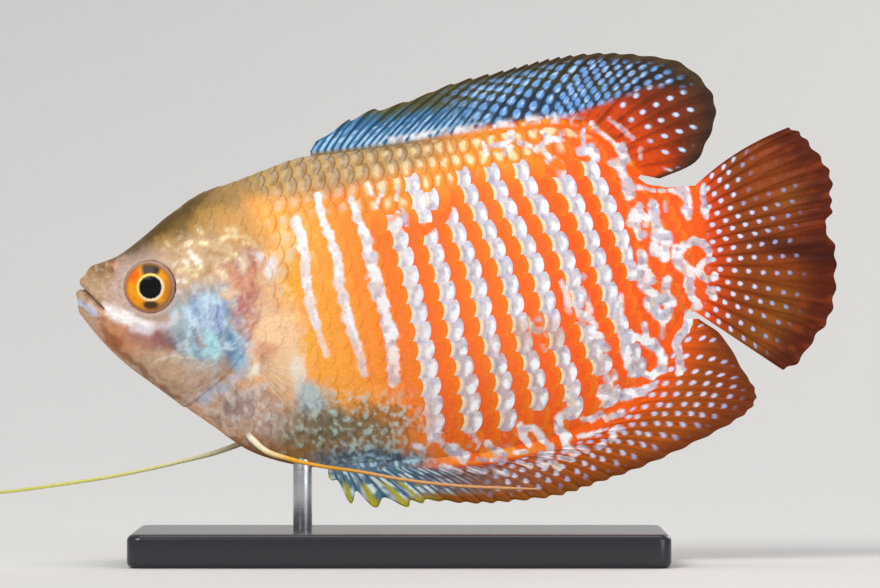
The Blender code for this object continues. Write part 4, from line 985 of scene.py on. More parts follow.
def web_finish():
    """Pectoral web: clear skin between fine rays, which lets the flank show through."""
    made, tree, shader, place = finish_named("clear_fin_web", {"Roughness": 0.3, "IOR": 1.4})
    wire(tree, shader, {
        "Base Color": painted(tree, place, 0.3, 0.06),
        "Alpha": ranged(tree, attribute(tree, "shine")["Fac"], 0.08, 0.42),
    })
    return made


def eye_finish():
    """Eye: a wet, clear cornea over the painted iris, so the highlight is small and sharp."""
    made, tree, shader, place = finish_named("wet_eye", {
        "Roughness": 0.4, "IOR": 1.34, "Specular IOR Level": 0.2,
        "Coat Weight": 0.1, "Coat Roughness": 0.05,
    })
    wire(tree, shader, {"Base Color": painted(tree, place, 0.12, 0.12)})
    return made


def acrylic_finish(colour):
    """Cast black acrylic, flame polished: a deep colour under a clear gloss with faint hairlines."""
    made, tree, shader, place = finish_named("cast_acrylic", {"IOR": 1.49})
    hair = noise(tree, place, 0.4, 4.0)
    wire(tree, shader, {
        "Base Color": mixed(tree, hair, colour, np.array(colour) * 1.25),
        "Roughness": ranged(tree, hair, 0.16, 0.26),
    })
    return made


def steel_finish():
    """Brushed stainless steel rod: fine marks round it soften the reflections."""
    made, tree, shader, place = finish_named("brushed_steel", {"Metallic": 1.0})
    squeeze = node(tree, "ShaderNodeMapping", {"Scale": (1, 1, 30)}, {"Vector": place})
    marks = noise(tree, squeeze.outputs["Vector"], 3, 3.0)
    wire(tree, shader, {
        "Base Color": mixed(tree, marks, linear("#B9BABB"), linear("#D2D3D4")),
        "Roughness": ranged(tree, marks, 0.2, 0.42),
    })
    return made


def paper_finish(colour):
    """Matt seamless paper, for the floor and backdrop."""
    made, tree, shader, place = finish_named("seamless_paper", {"Roughness": 0.9})
    tooth = noise(tree, place, 1.2, 2.0)
    wire(tree, shader, {"Base Color": mixed(tree, tooth, colour, np.array(colour) * 0.97)})
    return made


# Skin

def head_relief(x, z):
    """How far the head's features stand out from its smooth form, in millimetres.

    The lips swell beside the mouth's line and the slit sinks between them. Round the eye the skin
    rises in a rim and then drops into the socket behind the eyeball. The nostril is a pit with a rim.
    """
    from_mouth = from_line(x, z, MOUTH_LINE)
    fade = step_up(x, 4.2, 2.4)
    lips = 0.34 * bump(from_mouth, 0.62, 0.42) * fade
    slit = 0.5 * bump(from_mouth, 0, 0.15) * step_up(x, 3.7, 3.0)
    from_eye = np.hypot(x - EYE[0], z - EYE[1])
    rim = 0.2 * bump(from_eye, EYE_RADIUS + 0.2, 0.4)
    socket = (EYE_SUNK + EYE_DEPTH + 0.1) * step_up(from_eye, EYE_RADIUS - 0.04, EYE_RADIUS - 0.3)
    from_nostril = np.hypot((x - NOSTRIL[0]) / 1.2, z - NOSTRIL[1])
    nostril = 0.1 * bump(from_nostril, 0.42, 0.16) - 0.5 * bump(from_nostril, 0, 0.24)
    return lips - slit + rim - socket + nostril


def head_cells(x, z):
    """Where small scales show through the skin of the head: cheek and gill cover, not snout or throat."""
    return step_up(x, 9.5, 12.5) * step_up(np.hypot(x - EYE[0], z - EYE[1]), 3.4, 4.6)


def size_property(name, description, default, least=0.0):
    """A length setting, given in millimetres."""
    return bpy.props.FloatProperty(
        name=name, description=description, default=default * MM, min=least * MM,
        unit="LENGTH", subtype="DISTANCE",
    )


class SkinSettings(bpy.types.PropertyGroup):
    coat_depth: size_property(
        "Depth under the scales", "How far the skin lies inside the solids where scales cover it", 0.12
    )
    grain: size_property(
        "Pigment grain", "Size of the fine mottling of the skin's pigment", 0.35, 0.01
    )


class GOURAMI_OT_skin(bpy.types.Operator):
    """One closed skin over head, trunk and tail stalk, with the mouth, eye sockets and nostrils"""

    bl_idname = "gourami.skin"
    bl_label = "Skin"

    def execute(self, context):
        settings = context.scene.gourami_skin
        head = np.append(np.linspace(0, 1, 40)[:-1] ** 1.5, np.linspace(1, GILL_STATION - 0.02, 125))
        stations = np.append(head, np.linspace(GILL_STATION + 0.02, LAST_STATION, 120))
        share = (1 - np.cos(math.pi * np.linspace(0, 1, 150))) / 2
        points = flank(stations, share)
        normal = outward(points)
        x, z = points[..., 0], points[..., 2]
        column = column_at(x, z)
        row = row_at(points)
        behind = behind_gills(*np.broadcast_arrays(stations[:, None], share[None, :]))
        depth = settings.coat_depth / MM
        shown, along, aside = scallop(column, row)
        edge = SCALE_REACH - SCALE_CURVE * (aside / SCALE_HALF) ** 2 - along
        cells = 0.06 * (step_up(edge, 0.9, 0.1) - 0.5) * step_up(edge, 0.0, 0.08) * head_cells(x, z)
        out = (head_relief(x, z) + cells) * (1 - behind) - depth * behind
        on_ridge = np.zeros_like(x)
        on_ridge[:, (0, -1)] = 1
        moved = points + normal * out[..., None]
        moved[..., 1] = np.where(on_ridge == 1, 0, np.minimum(moved[..., 1], -0.001))
        moved[0, :, 1] = 0
        silver = silver_at(shown, np.round(row))
        paint = body_colour(x, z, along, aside, edge, silver, behind)
        points, faces, order = closed_flanks(moved)
        shine = (silver * behind).reshape(-1)[order]
        paint = paint.reshape(-1, 3)[order]
        made = skin_finish("fish_skin", settings.grain / MM)
        nodes = ("head", "trunk", "tail_stalk")
        make_piece("skin", points, faces, paint, made, nodes, shine)
        return {"FINISHED"}


def closed_flanks(left):
    """Points and faces of the closed body from a grid of its left flank.

    Each station becomes a ring: down the left flank and up the mirrored right one. The first station
    is a line that both flanks share, and the last is closed by a strip. order says which point of
    the grid each point of the body was made from.
    """
    rows, columns = left.shape[:2]
    grid = np.arange(rows * columns).reshape(rows, columns)
    mirrored = np.full((rows, columns), -1)
    inner = grid[1:, 1:-1]
    mirrored[1:, 1:-1] = rows * columns + np.arange(inner.size).reshape(inner.shape)
    mirrored[0] = grid[0]
    mirrored[:, 0] = grid[:, 0]
    mirrored[:, -1] = grid[:, -1]
    order = np.concatenate([grid.ravel(), inner.ravel()])
    points = np.concatenate([left.reshape(-1, 3), left[1:, 1:-1].reshape(-1, 3) * (1, -1, 1)])
    near, far = grid[-1], mirrored[-1]
    cap = np.stack([near[1:-2], near[2:-1], far[2:-1], far[1:-2]], 1)
    tips = np.array([(near[0], near[1], far[1]), (near[-2], near[-1], far[-2])])
    faces = [grid_faces(grid)[:, ::-1], grid_faces(mirrored), cap[:, ::-1], tips[:, ::-1]]
    return points, faces, order


# Scales

class CoatSettings(bpy.types.PropertyGroup):
    rise: size_property(
        "Free edge", "How far a scale's free edge stands over the skin", 0.08
    )


SCALE_ALONG, SCALE_ASIDE = 12, 12
SCALE_HEART = (5, 4)
UNWRAP_PATCH = 0.003


def scale_places(lattice, columns, top, bottom):
    """Columns, rows and the clear width above and below of every scale behind the gill covers."""
    column, row = np.meshgrid(
        np.arange(FIRST_COLUMN, LAST_COLUMN + 1.0), np.arange(FIRST_ROW, LAST_ROW + 1.0)
    )
    column, row = column.ravel(), row.ravel()
    middle = on_lattice(lattice, column, row)
    upper = np.maximum(-SCALE_HALF, np.interp(column, columns, top) + 0.04 - row)
    lower = np.minimum(SCALE_HALF, np.interp(column, columns, bottom) - 0.04 - row)
    kept = (lower - upper > 0.35) & ~np.isnan(middle[:, 0])
    kept &= behind_gills(middle[:, 6] - 0.05, middle[:, 7]) > 0.5
    return column[kept], row[kept], upper[kept], lower[kept]


def scale_coat(lattice, places, rise, depth):
    """Points, faces, colours and unwrap of all the left flank's scales.

    Each is a plate on a grid of its own: from its root, sunk in the skin, it lifts to a rounded free
    edge. A skirt under its rim closes it to one point below.
    """
    column, row, upper, lower = (value[:, None, None] for value in places)
    t = np.linspace(-1, 1, SCALE_ASIDE)[None, None, :]
    s = (1 - (1 - np.linspace(0, 1, SCALE_ALONG)) ** 1.25)[None, :, None]
    edge = SCALE_REACH - SCALE_CURVE * t ** 2
    along = SCALE_ROOT + (edge - SCALE_ROOT) * s + 0 * column
    aside = (upper + lower) / 2 + (lower - upper) / 2 * t * (1 - 0.12 * (1 - s)) + 0 * s
    at_column = column + along - COLUMN_LEAN * aside
    at_row = row + aside
    here = on_lattice(lattice, at_column, at_row)
    height = -depth + 0.02 + (rise - 0.02) * (along + 0.4) / (SCALE_REACH + 0.4) - 0.02 * t ** 2
    place = here[..., :3] + here[..., 3:6] * height[..., None]
    whole = ~np.isnan(place).any(axis=(1, 2, 3))
    index = np.arange(SCALE_ALONG * SCALE_ASIDE).reshape(SCALE_ALONG, SCALE_ASIDE)
    rim = np.concatenate([index[:, 0], index[-1, 1:], index[::-1, -1][1:], index[0, ::-1][1:-1]])
    under = here[..., :3] - here[..., 3:6] * (depth + 0.07)
    flat = (len(place), -1, 3)
    skirt = under.reshape(flat)[:, rim]
    inward = here[:, SCALE_HEART[0], SCALE_HEART[1], 3:6][:, None]
    heart = under[:, SCALE_ALONG // 2, SCALE_ASIDE // 2][:, None] - 0.05 * inward
    points = np.concatenate([place.reshape(flat), skirt, heart], 1)
    first, count = index.size, len(rim)
    ring = np.append(np.arange(count), 0)
    wall = np.stack([rim[ring[:-1]], rim[ring[1:]], first + ring[1:], first + ring[:-1]], 1)
    floor = np.stack([first + ring[:-1], first + ring[1:], np.full(count, first + count)], 1)
    return here, along + 0 * aside, aside, points, (grid_faces(index), wall, floor), rim, whole


class GOURAMI_OT_coat(bpy.types.Operator):
    """The overlapping scales of both flanks, in rows along the body, with the bars painted on them"""

    bl_idname = "gourami.coat"
    bl_label = "Scales"

    def execute(self, context):
        settings = context.scene.gourami_coat
        depth = context.scene.gourami_skin.coat_depth / MM
        lattice, columns, top, bottom = flank_lattice()
        places = scale_places(lattice, columns, top, bottom)
        here, along, aside, points, faces, rim, whole = scale_coat(
            lattice, places, settings.rise / MM, depth
        )
        column, row = places[0][:, None, None], places[1][:, None, None]
        silver = silver_at(column, row) + 0 * along
        edge = SCALE_REACH - SCALE_CURVE * (aside / SCALE_HALF) ** 2 - along
        colour = body_colour(here[..., 0], here[..., 2], along, aside, edge, silver, 1.0)
        colour = colour * (1 + 0.05 * grain(column, row, 0.71, 5)[..., None])
        flat = colour.reshape(len(points), -1, 3)
        # The skirt under each scale's rim is painted 0.85 as bright and the point below it 0.7: painted shade
        # in the crevice under the free edge
        paint = np.concatenate([flat, flat[:, rim] * 0.85, flat[:, :1] * 0.7], 1)
        shine = silver.reshape(len(points), -1)
        shine = np.concatenate([shine, shine[:, rim], shine[:, :1]], 1)
        spread = np.stack([
            (along / 1.5) * UNWRAP_PATCH / 2 + (column - FIRST_COLUMN) / (LAST_COLUMN - FIRST_COLUMN + 1),
            (aside / 1.3) * UNWRAP_PATCH / 2 + (row - FIRST_ROW) / (LAST_ROW - FIRST_ROW + 1),
        ], -1)
        spread = 0.01 + 0.98 * spread.reshape(len(points), -1, 2)
        unwrap = np.concatenate([spread, spread[:, rim], spread[:, :1]], 1)
        made = skin_finish("scales_over_guanine", 0.3)
        points, paint, shine, unwrap = points[whole], paint[whole], shine[whole], unwrap[whole]
        shift = (np.arange(len(points)) * points.shape[1])[:, None, None]
        every = [(shift + group[None]).reshape(-1, group.shape[1]) for group in faces]
        for name, side in (("scales_left", 1), ("scales_right", -1)):
            turned = every if side == 1 else [group[:, ::-1] for group in every]
            placed = points * (1, side, 1)
            nodes = ("trunk", "tail_stalk")
            make_piece(name, placed, turned, paint, made, nodes, shine, unwrap)
        return {"FINISHED"}


# Eyes

class EyeSettings(bpy.types.PropertyGroup):
    pupil: size_property(
        "Pupil radius", "Radius of the black pupil", 1.2, 0.1
    )


def eye_colour(across, up):
    """The iris by the place over it, from the pupil's middle: x across to the rear, z up."""
    away = np.hypot(across, up)
    turn = np.arctan2(up, across)
    colour = tinted(away, "#F29A14")
    colour = washed(colour, (
        (0.9 * patch(across, up, (-1.9, 1.3), (1.1, 1.3), 0, 0.8), "#F06410"),
        (0.8 * patch(across, up, (1.9, -0.3), (1.0, 1.9), 0, 0.8), "#C47610"),
        (0.7 * patch(across, up, (1.3, -2.0), (1.2, 0.9), 0, 0.8), "#D8A050"),
    ))
    fibre = grain(turn * 3.0, away, 0.3, 3) + 0.6 * grain(across, up, 0.25, 5)
    colour = lay(colour, 0.35 * step_up(fibre, 0.1, 0.8) * step_up(away, 1.4, 1.7), "#B45A0C")
    bar = np.maximum(
        patch(across, up, (0.0, 2.0), (1.25, 1.25), 0, 0.4),
        0.95 * patch(across, up, (0.0, -1.85), (1.1, 0.62), 0, 0.5),
    )
    colour = lay(colour, bar, "#33251F")
    rim = np.hypot(across + PUPIL_AHEAD, up)
    colour = lay(colour, 0.8 * step_up(rim, 2.05, 2.5), "#96683C")
    colour = lay(colour, 0.9 * step_up(rim, 2.42, 2.66), "#B49484")
    ring = lay(tinted(away, "#F6E070"), step_up(up - across, 1.2, -0.8), "#F8DCB4")
    colour = over(colour, step_up(away, 1.52, 1.38), ring)
    return lay(colour, step_up(away, 1.24, 1.16), "#0A0708")


class GOURAMI_OT_eyes(bpy.types.Operator):
    """Both eyes: a flattened ball whose lens stands out of the pupil"""

    bl_idname = "gourami.eyes"
    bl_label = "Eyes"

    def execute(self, context):
        pupil = context.scene.gourami_eye.pupil / MM
        made = eye_finish()
        fall = np.append(np.linspace(0.004, 0.56, 44), np.linspace(0.6, 0.998, 12))[:, None] * math.pi
        turn = np.linspace(0, 2 * math.pi, 97)[None, :-1]
        away = np.sin(fall)
        side, up = away * np.cos(turn), away * np.sin(turn)
        level = np.sign(np.cos(fall)) * np.abs(np.cos(fall)) ** 0.75 + 0 * turn
        radius = EYE_RADIUS * away + 0 * turn
        lens = LENS_RISE * step_up(radius, pupil * 1.02, pupil * 0.7) * (level > 0)
        deep = EYE_DEPTH * level + lens
        paint = eye_colour(EYE_RADIUS * side - PUPIL_AHEAD, EYE_RADIUS * up)
        index = np.arange(fall.size * turn.size).reshape(fall.size, turn.size)
        index = np.concatenate([index, index[:, :1]], 1)
        tip, tail = index.max() + 1, index.max() + 2
        caps = [
            np.stack([index[0, :-1], index[0, 1:], np.full(turn.size, tip)], 1),
            np.stack([index[-1, 1:], index[-1, :-1], np.full(turn.size, tail)], 1),
        ]
        y_at = flank_y(*EYE) - EYE_SUNK
        for name, hand in (("eye_left", -1), ("eye_right", 1)):
            c, s = math.cos(hand * EYE_TURN), math.sin(hand * EYE_TURN)
            px, py = EYE_RADIUS * side, hand * deep
            ends = np.array([(0, hand * (EYE_DEPTH + LENS_RISE), 0), (0, -hand * EYE_DEPTH, 0)])
            local = np.stack([px, py, EYE_RADIUS * up], -1).reshape(-1, 3)
            local = np.concatenate([local, ends])
            points = np.stack([
                local[:, 0] * c - local[:, 1] * s + EYE[0],
                local[:, 0] * s + local[:, 1] * c + hand * y_at,
                local[:, 2] + EYE[1],
            ], 1)
            tint = np.concatenate([paint.reshape(-1, 3), paint[:1, 0], paint[-1:, 0]])
            faces = [grid_faces(index), *caps]
            if hand == 1:
                faces = [group[:, ::-1] for group in faces]
            make_piece("iris_" + name, points, faces, tint, made, (name,))
        return {"FINISHED"}


# Fins

class FinSettings(bpy.types.PropertyGroup):
    ray_height: size_property(
        "Ray height", "How far a ray stands out of the web on each face", 0.16
    )
    web: size_property(
        "Web thickness", "Thickness of the web between the rays near the margin", 0.2, 0.02
    )


def outline_root(top, first, last, share):
    """Root points a gap off the back or belly between two x places, at shares of its length."""
    line = spline(STATIONS[:, 0:2] if top else STATIONS[:, 2:4], np.linspace(8, LAST_STATION, 600))
    line = line[(line[:, 0] >= first) & (line[:, 0] <= last)]
    ahead = np.gradient(line, axis=0)
    ahead /= np.linalg.norm(ahead, axis=1)[:, None]
    line = line + np.stack([-ahead[:, 1], ahead[:, 0]], 1) * (ROOT_GAP if top else -ROOT_GAP)
    length = np.append(0, np.cumsum(np.linalg.norm(np.diff(line, axis=0), axis=1)))
    at = share * length[-1]
    return np.stack([np.interp(at, length, line[:, 0]), np.interp(at, length, line[:, 1])], 1)


def web(root, margin, ray, rows, settings, sway, notch, deep, split, foot):
    """Both faces of a fin, with the place, ray number and share of its height for each point.

    Every ray is a ridge in both faces where ray is a whole number, and splits in two towards the
    margin by split. Between rays the margin is notched and the web folds a little from side to side.
    The fin's foot widens to the half width foot and is sunk square to the root in the body. From one
    ray to the next a place moves by its spread across the ray and by its slip along it.
    """
    along = np.linspace(0, 1, len(root))[:, None]
    between = np.sin(math.pi * ray[:, None]) ** 2
    sink = notch[0] + (notch[1] - notch[0]) * step_up(along, 0.3, 0.8)
    sink = (sink + deep * bump(along, 0, 0.09)) * between + 0.002
    reach = margin[:, None, :2] - root[:, None, :]
    tall = np.linalg.norm(reach, axis=-1)
    sunk = 1.2
    out = np.linspace(0, 1, rows + 1)[None, :] ** 0.9 * (1 - sink + sunk / tall) - sunk / tall
    length = out * tall
    body = np.clip(out, 0, 1)
    across = np.stack([-reach[..., 1], reach[..., 0]], -1) / tall[..., None]
    square = np.gradient(root, axis=0)
    square = np.stack([-square[:, 1], square[:, 0]], -1)
    square *= np.sign((square * reach[:, 0]).sum(1) / np.linalg.norm(square, axis=1))[:, None]
    square /= np.linalg.norm(square, axis=1)[:, None]
    place = root[:, None, :] + reach * body[..., None] + square[:, None] * (length - body * tall)[..., None]
    place = place + across * (margin[:, None, 2:3] * 4 * (body * (1 - body))[..., None])
    off = ray[:, None] - np.round(ray[:, None])
    fork = 0.24 * split * step_up(out, 0.35, 0.9)
    ridge = np.maximum(bump(off, fork, 0.13), bump(off, -fork, 0.13))
    half = settings.web / MM / 2 + 0.2 * step_up(out, 0.5, 0)
    half = half + settings.ray_height / MM * ridge * (1 - 0.55 * body) * step_up(length, 0.0, 1.5)
    half = half + (foot - 0.3) * step_up(length, 2.0, -0.5)
    half = half * (1 - 0.75 * step_up(out / (1 - sink), 0.93, 1.0))
    middle = sway(along, body) + 0.07 * np.sin(2 * math.pi * ray[:, None]) * step_up(out, 0, 0.3)
    near = np.stack([place[..., 0], middle - half, place[..., 1]], -1)
    far = np.stack([place[..., 0], middle + half, place[..., 1]], -1)
    to_next = np.gradient(place, ray, axis=0)
    ahead = reach / tall[..., None]
    spread = np.abs(to_next[..., 0] * ahead[..., 1] - to_next[..., 1] * ahead[..., 0])
    slip = (to_next * ahead).sum(-1)
    x, z = place[..., 0], place[..., 1]
    return near, far, (x, z, ray[:, None] + 0 * out, out, ridge, length, (spread, slip))


def web_dots(ray, length, step_across, spacing, radii, seed):
    """Dots between the rays: one in each web at every step of its length, staggered web by web.

    radii are a dot's half width across the web and along it, and step_across the spread and slip.
    """
    line = np.floor(ray)
    step = length / spacing + 0.5 * (line % 2)
    stray = grain(line * 3.3, np.floor(step) * 2.7, 0.9, seed)
    off = ray - line - 0.5 - 0.08 * stray
    da = off * step_across[0]
    db = (step - np.floor(step) - 0.5 - 0.12 * stray) * spacing + off * step_across[1]
    return step_up(np.hypot(da / radii[0], db / radii[1]), 1.3, 0.7)


def off_middle(ray):
    """How far a place is from the middle between two rays, in rays."""
    return np.abs(ray - np.floor(ray) - 0.5)


def dorsal_colour(x, z, ray, out, ridge, length, step_across):
    """Dorsal fin: blue streaks between the spines, blue spots behind them, then a red, dotted lobe.

    The spots are finer behind the last spine, with two across each web. Pearly flecks lie along the
    foot of its front half. The foot of its rear half is the body's orange, with the body's pale lines.
    The margin is olive over the spines and dark brown behind.
    """
    border = np.minimum(16.8 + 0.37 * (x - 46.8), 21.9)
    red = step_up(z - border, 0.5, -0.4) * step_up(x, 44, 48)
    streaky = step_up(x + 0.5 * z, 55, 47)
    height = length / 6.0
    colour = lay(tinted(x, "#2C3E52"), streaky, "#28527A")
    colour = washed(colour, (
        (step_up(height, 0.5, 0.85), "#4A4A2E"),
        (step_up(height, 0.6, 1.0) * step_up(x, 48, 55), "#3C2C24"),
        (step_up(out, 0.82, 0.95), "#4C3A22"),
    ))
    fold = grain(ray * 2, length, 0.9, 4)
    speck = grain(ray * 6, length * 1.6, 0.8, 7)
    half = off_middle(2 * ray)
    streak = step_up(half, 0.38, 0.12) * streaky
    colour = washed(colour, (
        (0.8 * streak * step_up(height, 1.1, 0.6), "#4F6A48"),
        (0.9 * streak * step_up(height + 0.3 * fold, 0.9, 0.4), "#3F86BE"),
        (0.9 * streak * step_up(height + 0.4 * speck, 0.5, 0.05), "#A8D2F0"),
        (0.6 * streak * step_up(out, 0.7, 0.9) * step_up(half, 0.3, 0.1), "#8C7A3C"),
    ))
    cell = web_dots(ray, length, step_across, 1.28, (0.31, 0.50), 11)
    halved = step_across[0] / 2, step_across[1] / 2
    fine = web_dots(2 * ray, length, halved, 1.15, (0.26, 0.40), 12)
    cell = np.where(ray > DORSAL_SPINES, fine, cell) * (1 - streaky)
    cell = cell * step_up(out, 0.92, 0.80) * step_up(height - 0.09 * np.clip(x - 52, 0, 11), 1.6, 1.0)
    colour = lay(colour, 0.95 * cell, "#6CA4E4")
    colour = lay(colour, 0.8 * cell * step_up(speck, 0.0, 0.6), "#C6E0FA")
    lobe = tinted(x, "#85300F")
    lobe = washed(lobe, (
        (step_up(length, 6.5, 2.0), "#D4480C"),
        (0.5 * step_up(grain(ray * 1.5, length * 0.6, 0.7, 14), 0.1, 0.7), "#7A1E08"),
        (step_up(out, 0.55, 0.85), "#5C3018"),
        (step_up(out, 0.80, 0.95), "#43291C"),
    ))
    dot = web_dots(ray, length, step_across, 1.6, (0.27, 0.30), 15) * step_up(length, 2.6, 3.4)
    dot = dot * step_up(out, 0.86, 0.76)
    lobe = lay(lobe, 0.95 * dot, "#9CBCE4")
    lobe = lay(lobe, 0.8 * step_up(dot, 0.6, 1.0), "#D4E4F4")
    colour = over(colour, red, lobe)
    orange = lay(tinted(x, "#F0640E"), step_up(grain(x, z, 0.6, 24), 0.0, 0.5), "#F6A02C")
    colour = over(colour, step_up(length, 0.7, -0.1) * step_up(x, 38, 46), orange)
    flecks = step_up(grain(x, z, 0.5, 21), -0.3, 0.2) * step_up(length, 1.1, 0.3) * step_up(x, 56, 50)
    colour = over(colour, 0.85 * flecks * step_up(x, 29, 35), pearl(x, z))
    colour = over(colour, step_up(length, 0.1, -0.5), ground_colour(x, z))
    drawn = pale_lines(x, z, 0 * x) * step_up(x, 42, 46)
    colour = over(colour, drawn, pearl(x, z))
    marks = np.maximum(np.maximum(dot, cell), drawn)
    return lay(colour, 0.3 * ridge * (1 - marks) * step_up(length, 0.5, 2.0), "#241C14")


def anal_colour(x, z, ray, out, ridge, length, step_across):
    """Anal fin: blue white lobes edged with yellow, then orange with rows of dots and an ochre margin."""
    colour = tinted(x, "#EC5C0C")
    colour = washed(colour, (
        (0.85 * step_up(length, 1.5, 5.0), "#A4540F"),
        (0.8 * step_up(x, 62, 70), "#87370F"),
        (0.8 * step_up(out, 0.72, 0.95), "#6E3410"),
        (0.8 * step_up(out, 0.78, 0.95) * step_up(x, 60, 48), "#A8641A"),
    ))
    fold = grain(ray * 2, length, 0.8, 6)
    half = off_middle(2 * ray)
    colour = lay(colour, 0.5 * step_up(half, 0.30, 0.45) * step_up(out, 0.4, 0.7), "#6A2C0C")
    blue = step_up(x - 5 * np.clip(length, 0, 2), 42, 32)
    blue = np.maximum(blue, 0.7 * step_up(length, 0.0, 1.0) * step_up(x, 54, 44)) * step_up(out, 0.86, 0.72)
    blue = np.maximum(blue, step_up(x, 40, 35))
    cold = lay(tinted(x, "#5C8098"), step_up(x, 34, 42), "#86604E")
    streak = step_up(half, 0.42, 0.15)
    fold = fold + 0.6 * grain(x, z, 0.5, 16) - 0.35 * step_up(x, 40, 46)
    cold = lay(cold, 0.5 * step_up(grain(x, z, 0.6, 18), 0.0, 0.5) * step_up(x, 40, 46), "#B88058")
    streak = streak * step_up(x, 45, 36)
    cold = washed(cold, (
        (0.85 * streak * step_up(fold, -0.4, 0.3), "#A9C8DC"),
        (0.9 * streak * step_up(fold, 0.0, 0.5) * step_up(x, 41, 35), "#E6F4F4"),
        (0.7 * step_up(half, 0.36, 0.48) * step_up(x, 44, 37), "#24465C"),
        (step_up(out, 0.70, 0.92) * step_up(x, 46, 38), "#B4A830"),
        (step_up(out, 0.70, 0.92) * step_up(x, 38, 46), "#A8702A"),
    ))
    colour = over(colour, blue, cold)
    lobes = step_up(x, 37, 35) * step_up(off_middle(ray), 0.26, 0.42) * step_up(out, 0.25, 0.5)
    colour = lay(colour, 0.9 * lobes, "#CCC434")
    size = 0.30 - 0.08 * np.clip(out, 0, 1)
    dot = web_dots(ray, length, step_across, 1.36, (size, size * 1.15), 17) * step_up(length, 0.3, 0.8)
    dot = dot * step_up(out, 0.92, 0.78) * step_up(x, 41, 46)
    colour = lay(colour, 0.95 * dot, "#A8AEDC")
    colour = lay(colour, 0.9 * step_up(dot, 0.5, 1.0) * step_up(out, 0.9, 0.6), "#E8EAF8")
    colour = over(colour, step_up(length, 0.3, -0.5), ground_colour(x, z))
    drawn = pale_lines(x, z, 0 * x)
    colour = over(colour, drawn, pearl(x, z))
    return lay(colour, 0.25 * ridge * (1 - np.maximum(dot, drawn)) * step_up(length, 0.5, 2.0), "#4E220A")


def tail_colour(x, z, ray, out, ridge, length, step_across):
    """Tail fin: orange at the foot, brown, then dark red brown, with rows of pale dots between the rays."""
    colour = tinted(x, "#D8480C")
    colour = washed(colour, (
        (step_up(length, 1.0, 5.0), "#8A3F0E"),
        (0.7 * step_up(out, 0.3, 0.6) * step_up(z, 4, -2), "#84500F"),
        (0.6 * patch(x, z, (76, 10.4), (3.5, 2.2), 10, 0.8), "#8E5A10"),
        (step_up(out, 0.60, 0.9), "#561F09"),
        (0.25 * step_up(grain(ray * 2, length * 0.35, 0.5, 26), 0.1, 0.8), "#B4501A"),
    ))
    colour = over(colour, step_up(length, 2.2, 0.0), ground_colour(x, z))
    cleft = stroke(x, z, [(71.0, 5.9), (75.0, 4.9), (80.0, 4.0)], 3.4, 0.9) * step_up(x, 69, 75)
    colour = lay(colour, 0.8 * cleft, "#300E05")
    size = 0.28 - 0.10 * np.clip(out, 0, 1)
    dot = web_dots(ray, length, step_across, 1.47, (size, size * 1.1), 23) * step_up(out, 0.80, 0.66)
    dot = dot * (1 - 0.95 * step_up(z - 0.62 * (x - 66), 5.4, 7.2) * step_up(x, 69, 72))
    dot = dot * step_up(length, 0.7, 1.1)
    colour = lay(colour, 0.95 * dot, "#8A98C4")
    colour = lay(colour, 0.9 * step_up(dot, 0.5, 1.0) * step_up(out, 0.7, 0.3), "#DCE2F4")
    drawn = pale_lines(x, z, 0 * x)
    colour = over(colour, drawn, pearl(x, z))
    marks = np.maximum(dot, drawn)
    return lay(colour, 0.35 * ridge * (1 - marks) * step_up(length, 0.5, 2.5), "#5A1808")


def make_fin(name, faces, places, paint, made):
    """A fin's piece from its two faces, which share their colours."""
    points, quads = two_faced(*faces)
    both = np.concatenate([paint(*places).reshape(-1, 3)] * 2)
    make_piece(name + "_web", points, [quads], both, made, (name + "_fin",))


class GOURAMI_OT_fins(bpy.types.Operator):
    """Dorsal, anal and tail fins: rays as fine ridges in a thin web, with their dots and streaks"""

    bl_idname = "gourami.fins"
    bl_label = "Fins"

    def execute(self, context):
        settings = context.scene.gourami_fin
        made = fin_finish("fin_web_over_rays")
        for name, ground, margin_table, shares, lean, ruffle, paint in (
            (
                "dorsal", (True, 24.8, 59.2), DORSAL_MARGIN,
                ([0, DORSAL_SPINES, DORSAL_RAYS], [0, 0.68, 1]), 0.077,
                (0.06, 0.2, 9, 0.6), dorsal_colour,
            ),
            (
                "anal", (False, 26.6, 64.0), ANAL_MARGIN, ([0, 4, 19, 29], [0, 0.125, 0.6, 1]), 0.0,
                (0.04, 0.55, 8, 2.0), anal_colour,
            ),
        ):
            ray = np.linspace(0, shares[0][-1], 440)
            share = np.interp(ray, *shares)
            root = outline_root(*ground, share)
            leant = share + lean * np.sin(2 * math.pi * share)
            margin = spline(margin_table[:, 1:], leant, margin_table[:, 0])
            notch, deep, waves, start = ruffle
            sway = lambda t, s: 0.5 * s * s * np.sin(waves * t + start) * t
            *faces, places = web(root, margin, ray, 70, settings, sway, (notch, 0.015), deep, 0.6, 0.5)
            make_fin(name, faces, places, paint, made)
        rays = 17
        ray = np.linspace(0, rays - 1, 320)
        share = 0.01 + 0.98 * ray / (rays - 1)
        root = flank([LAST_STATION], share)[0]
        foot = np.maximum(-root[:, 1:2] - 0.05, 0.3)
        root = root[:, (0, 2)] + (ROOT_GAP, 0)
        margin = spline(TAIL_MARGIN[:, 1:], ray / (rays - 1), TAIL_MARGIN[:, 0])
        sway = lambda t, s: 0.6 * s * s * np.sin(7 * t + 1)
        *faces, places = web(root, margin, ray, 120, settings, sway, (0.02, 0.02), 0.0, 1.0, foot)
        make_fin("tail", faces, places, tail_colour, made)
        return {"FINISHED"}


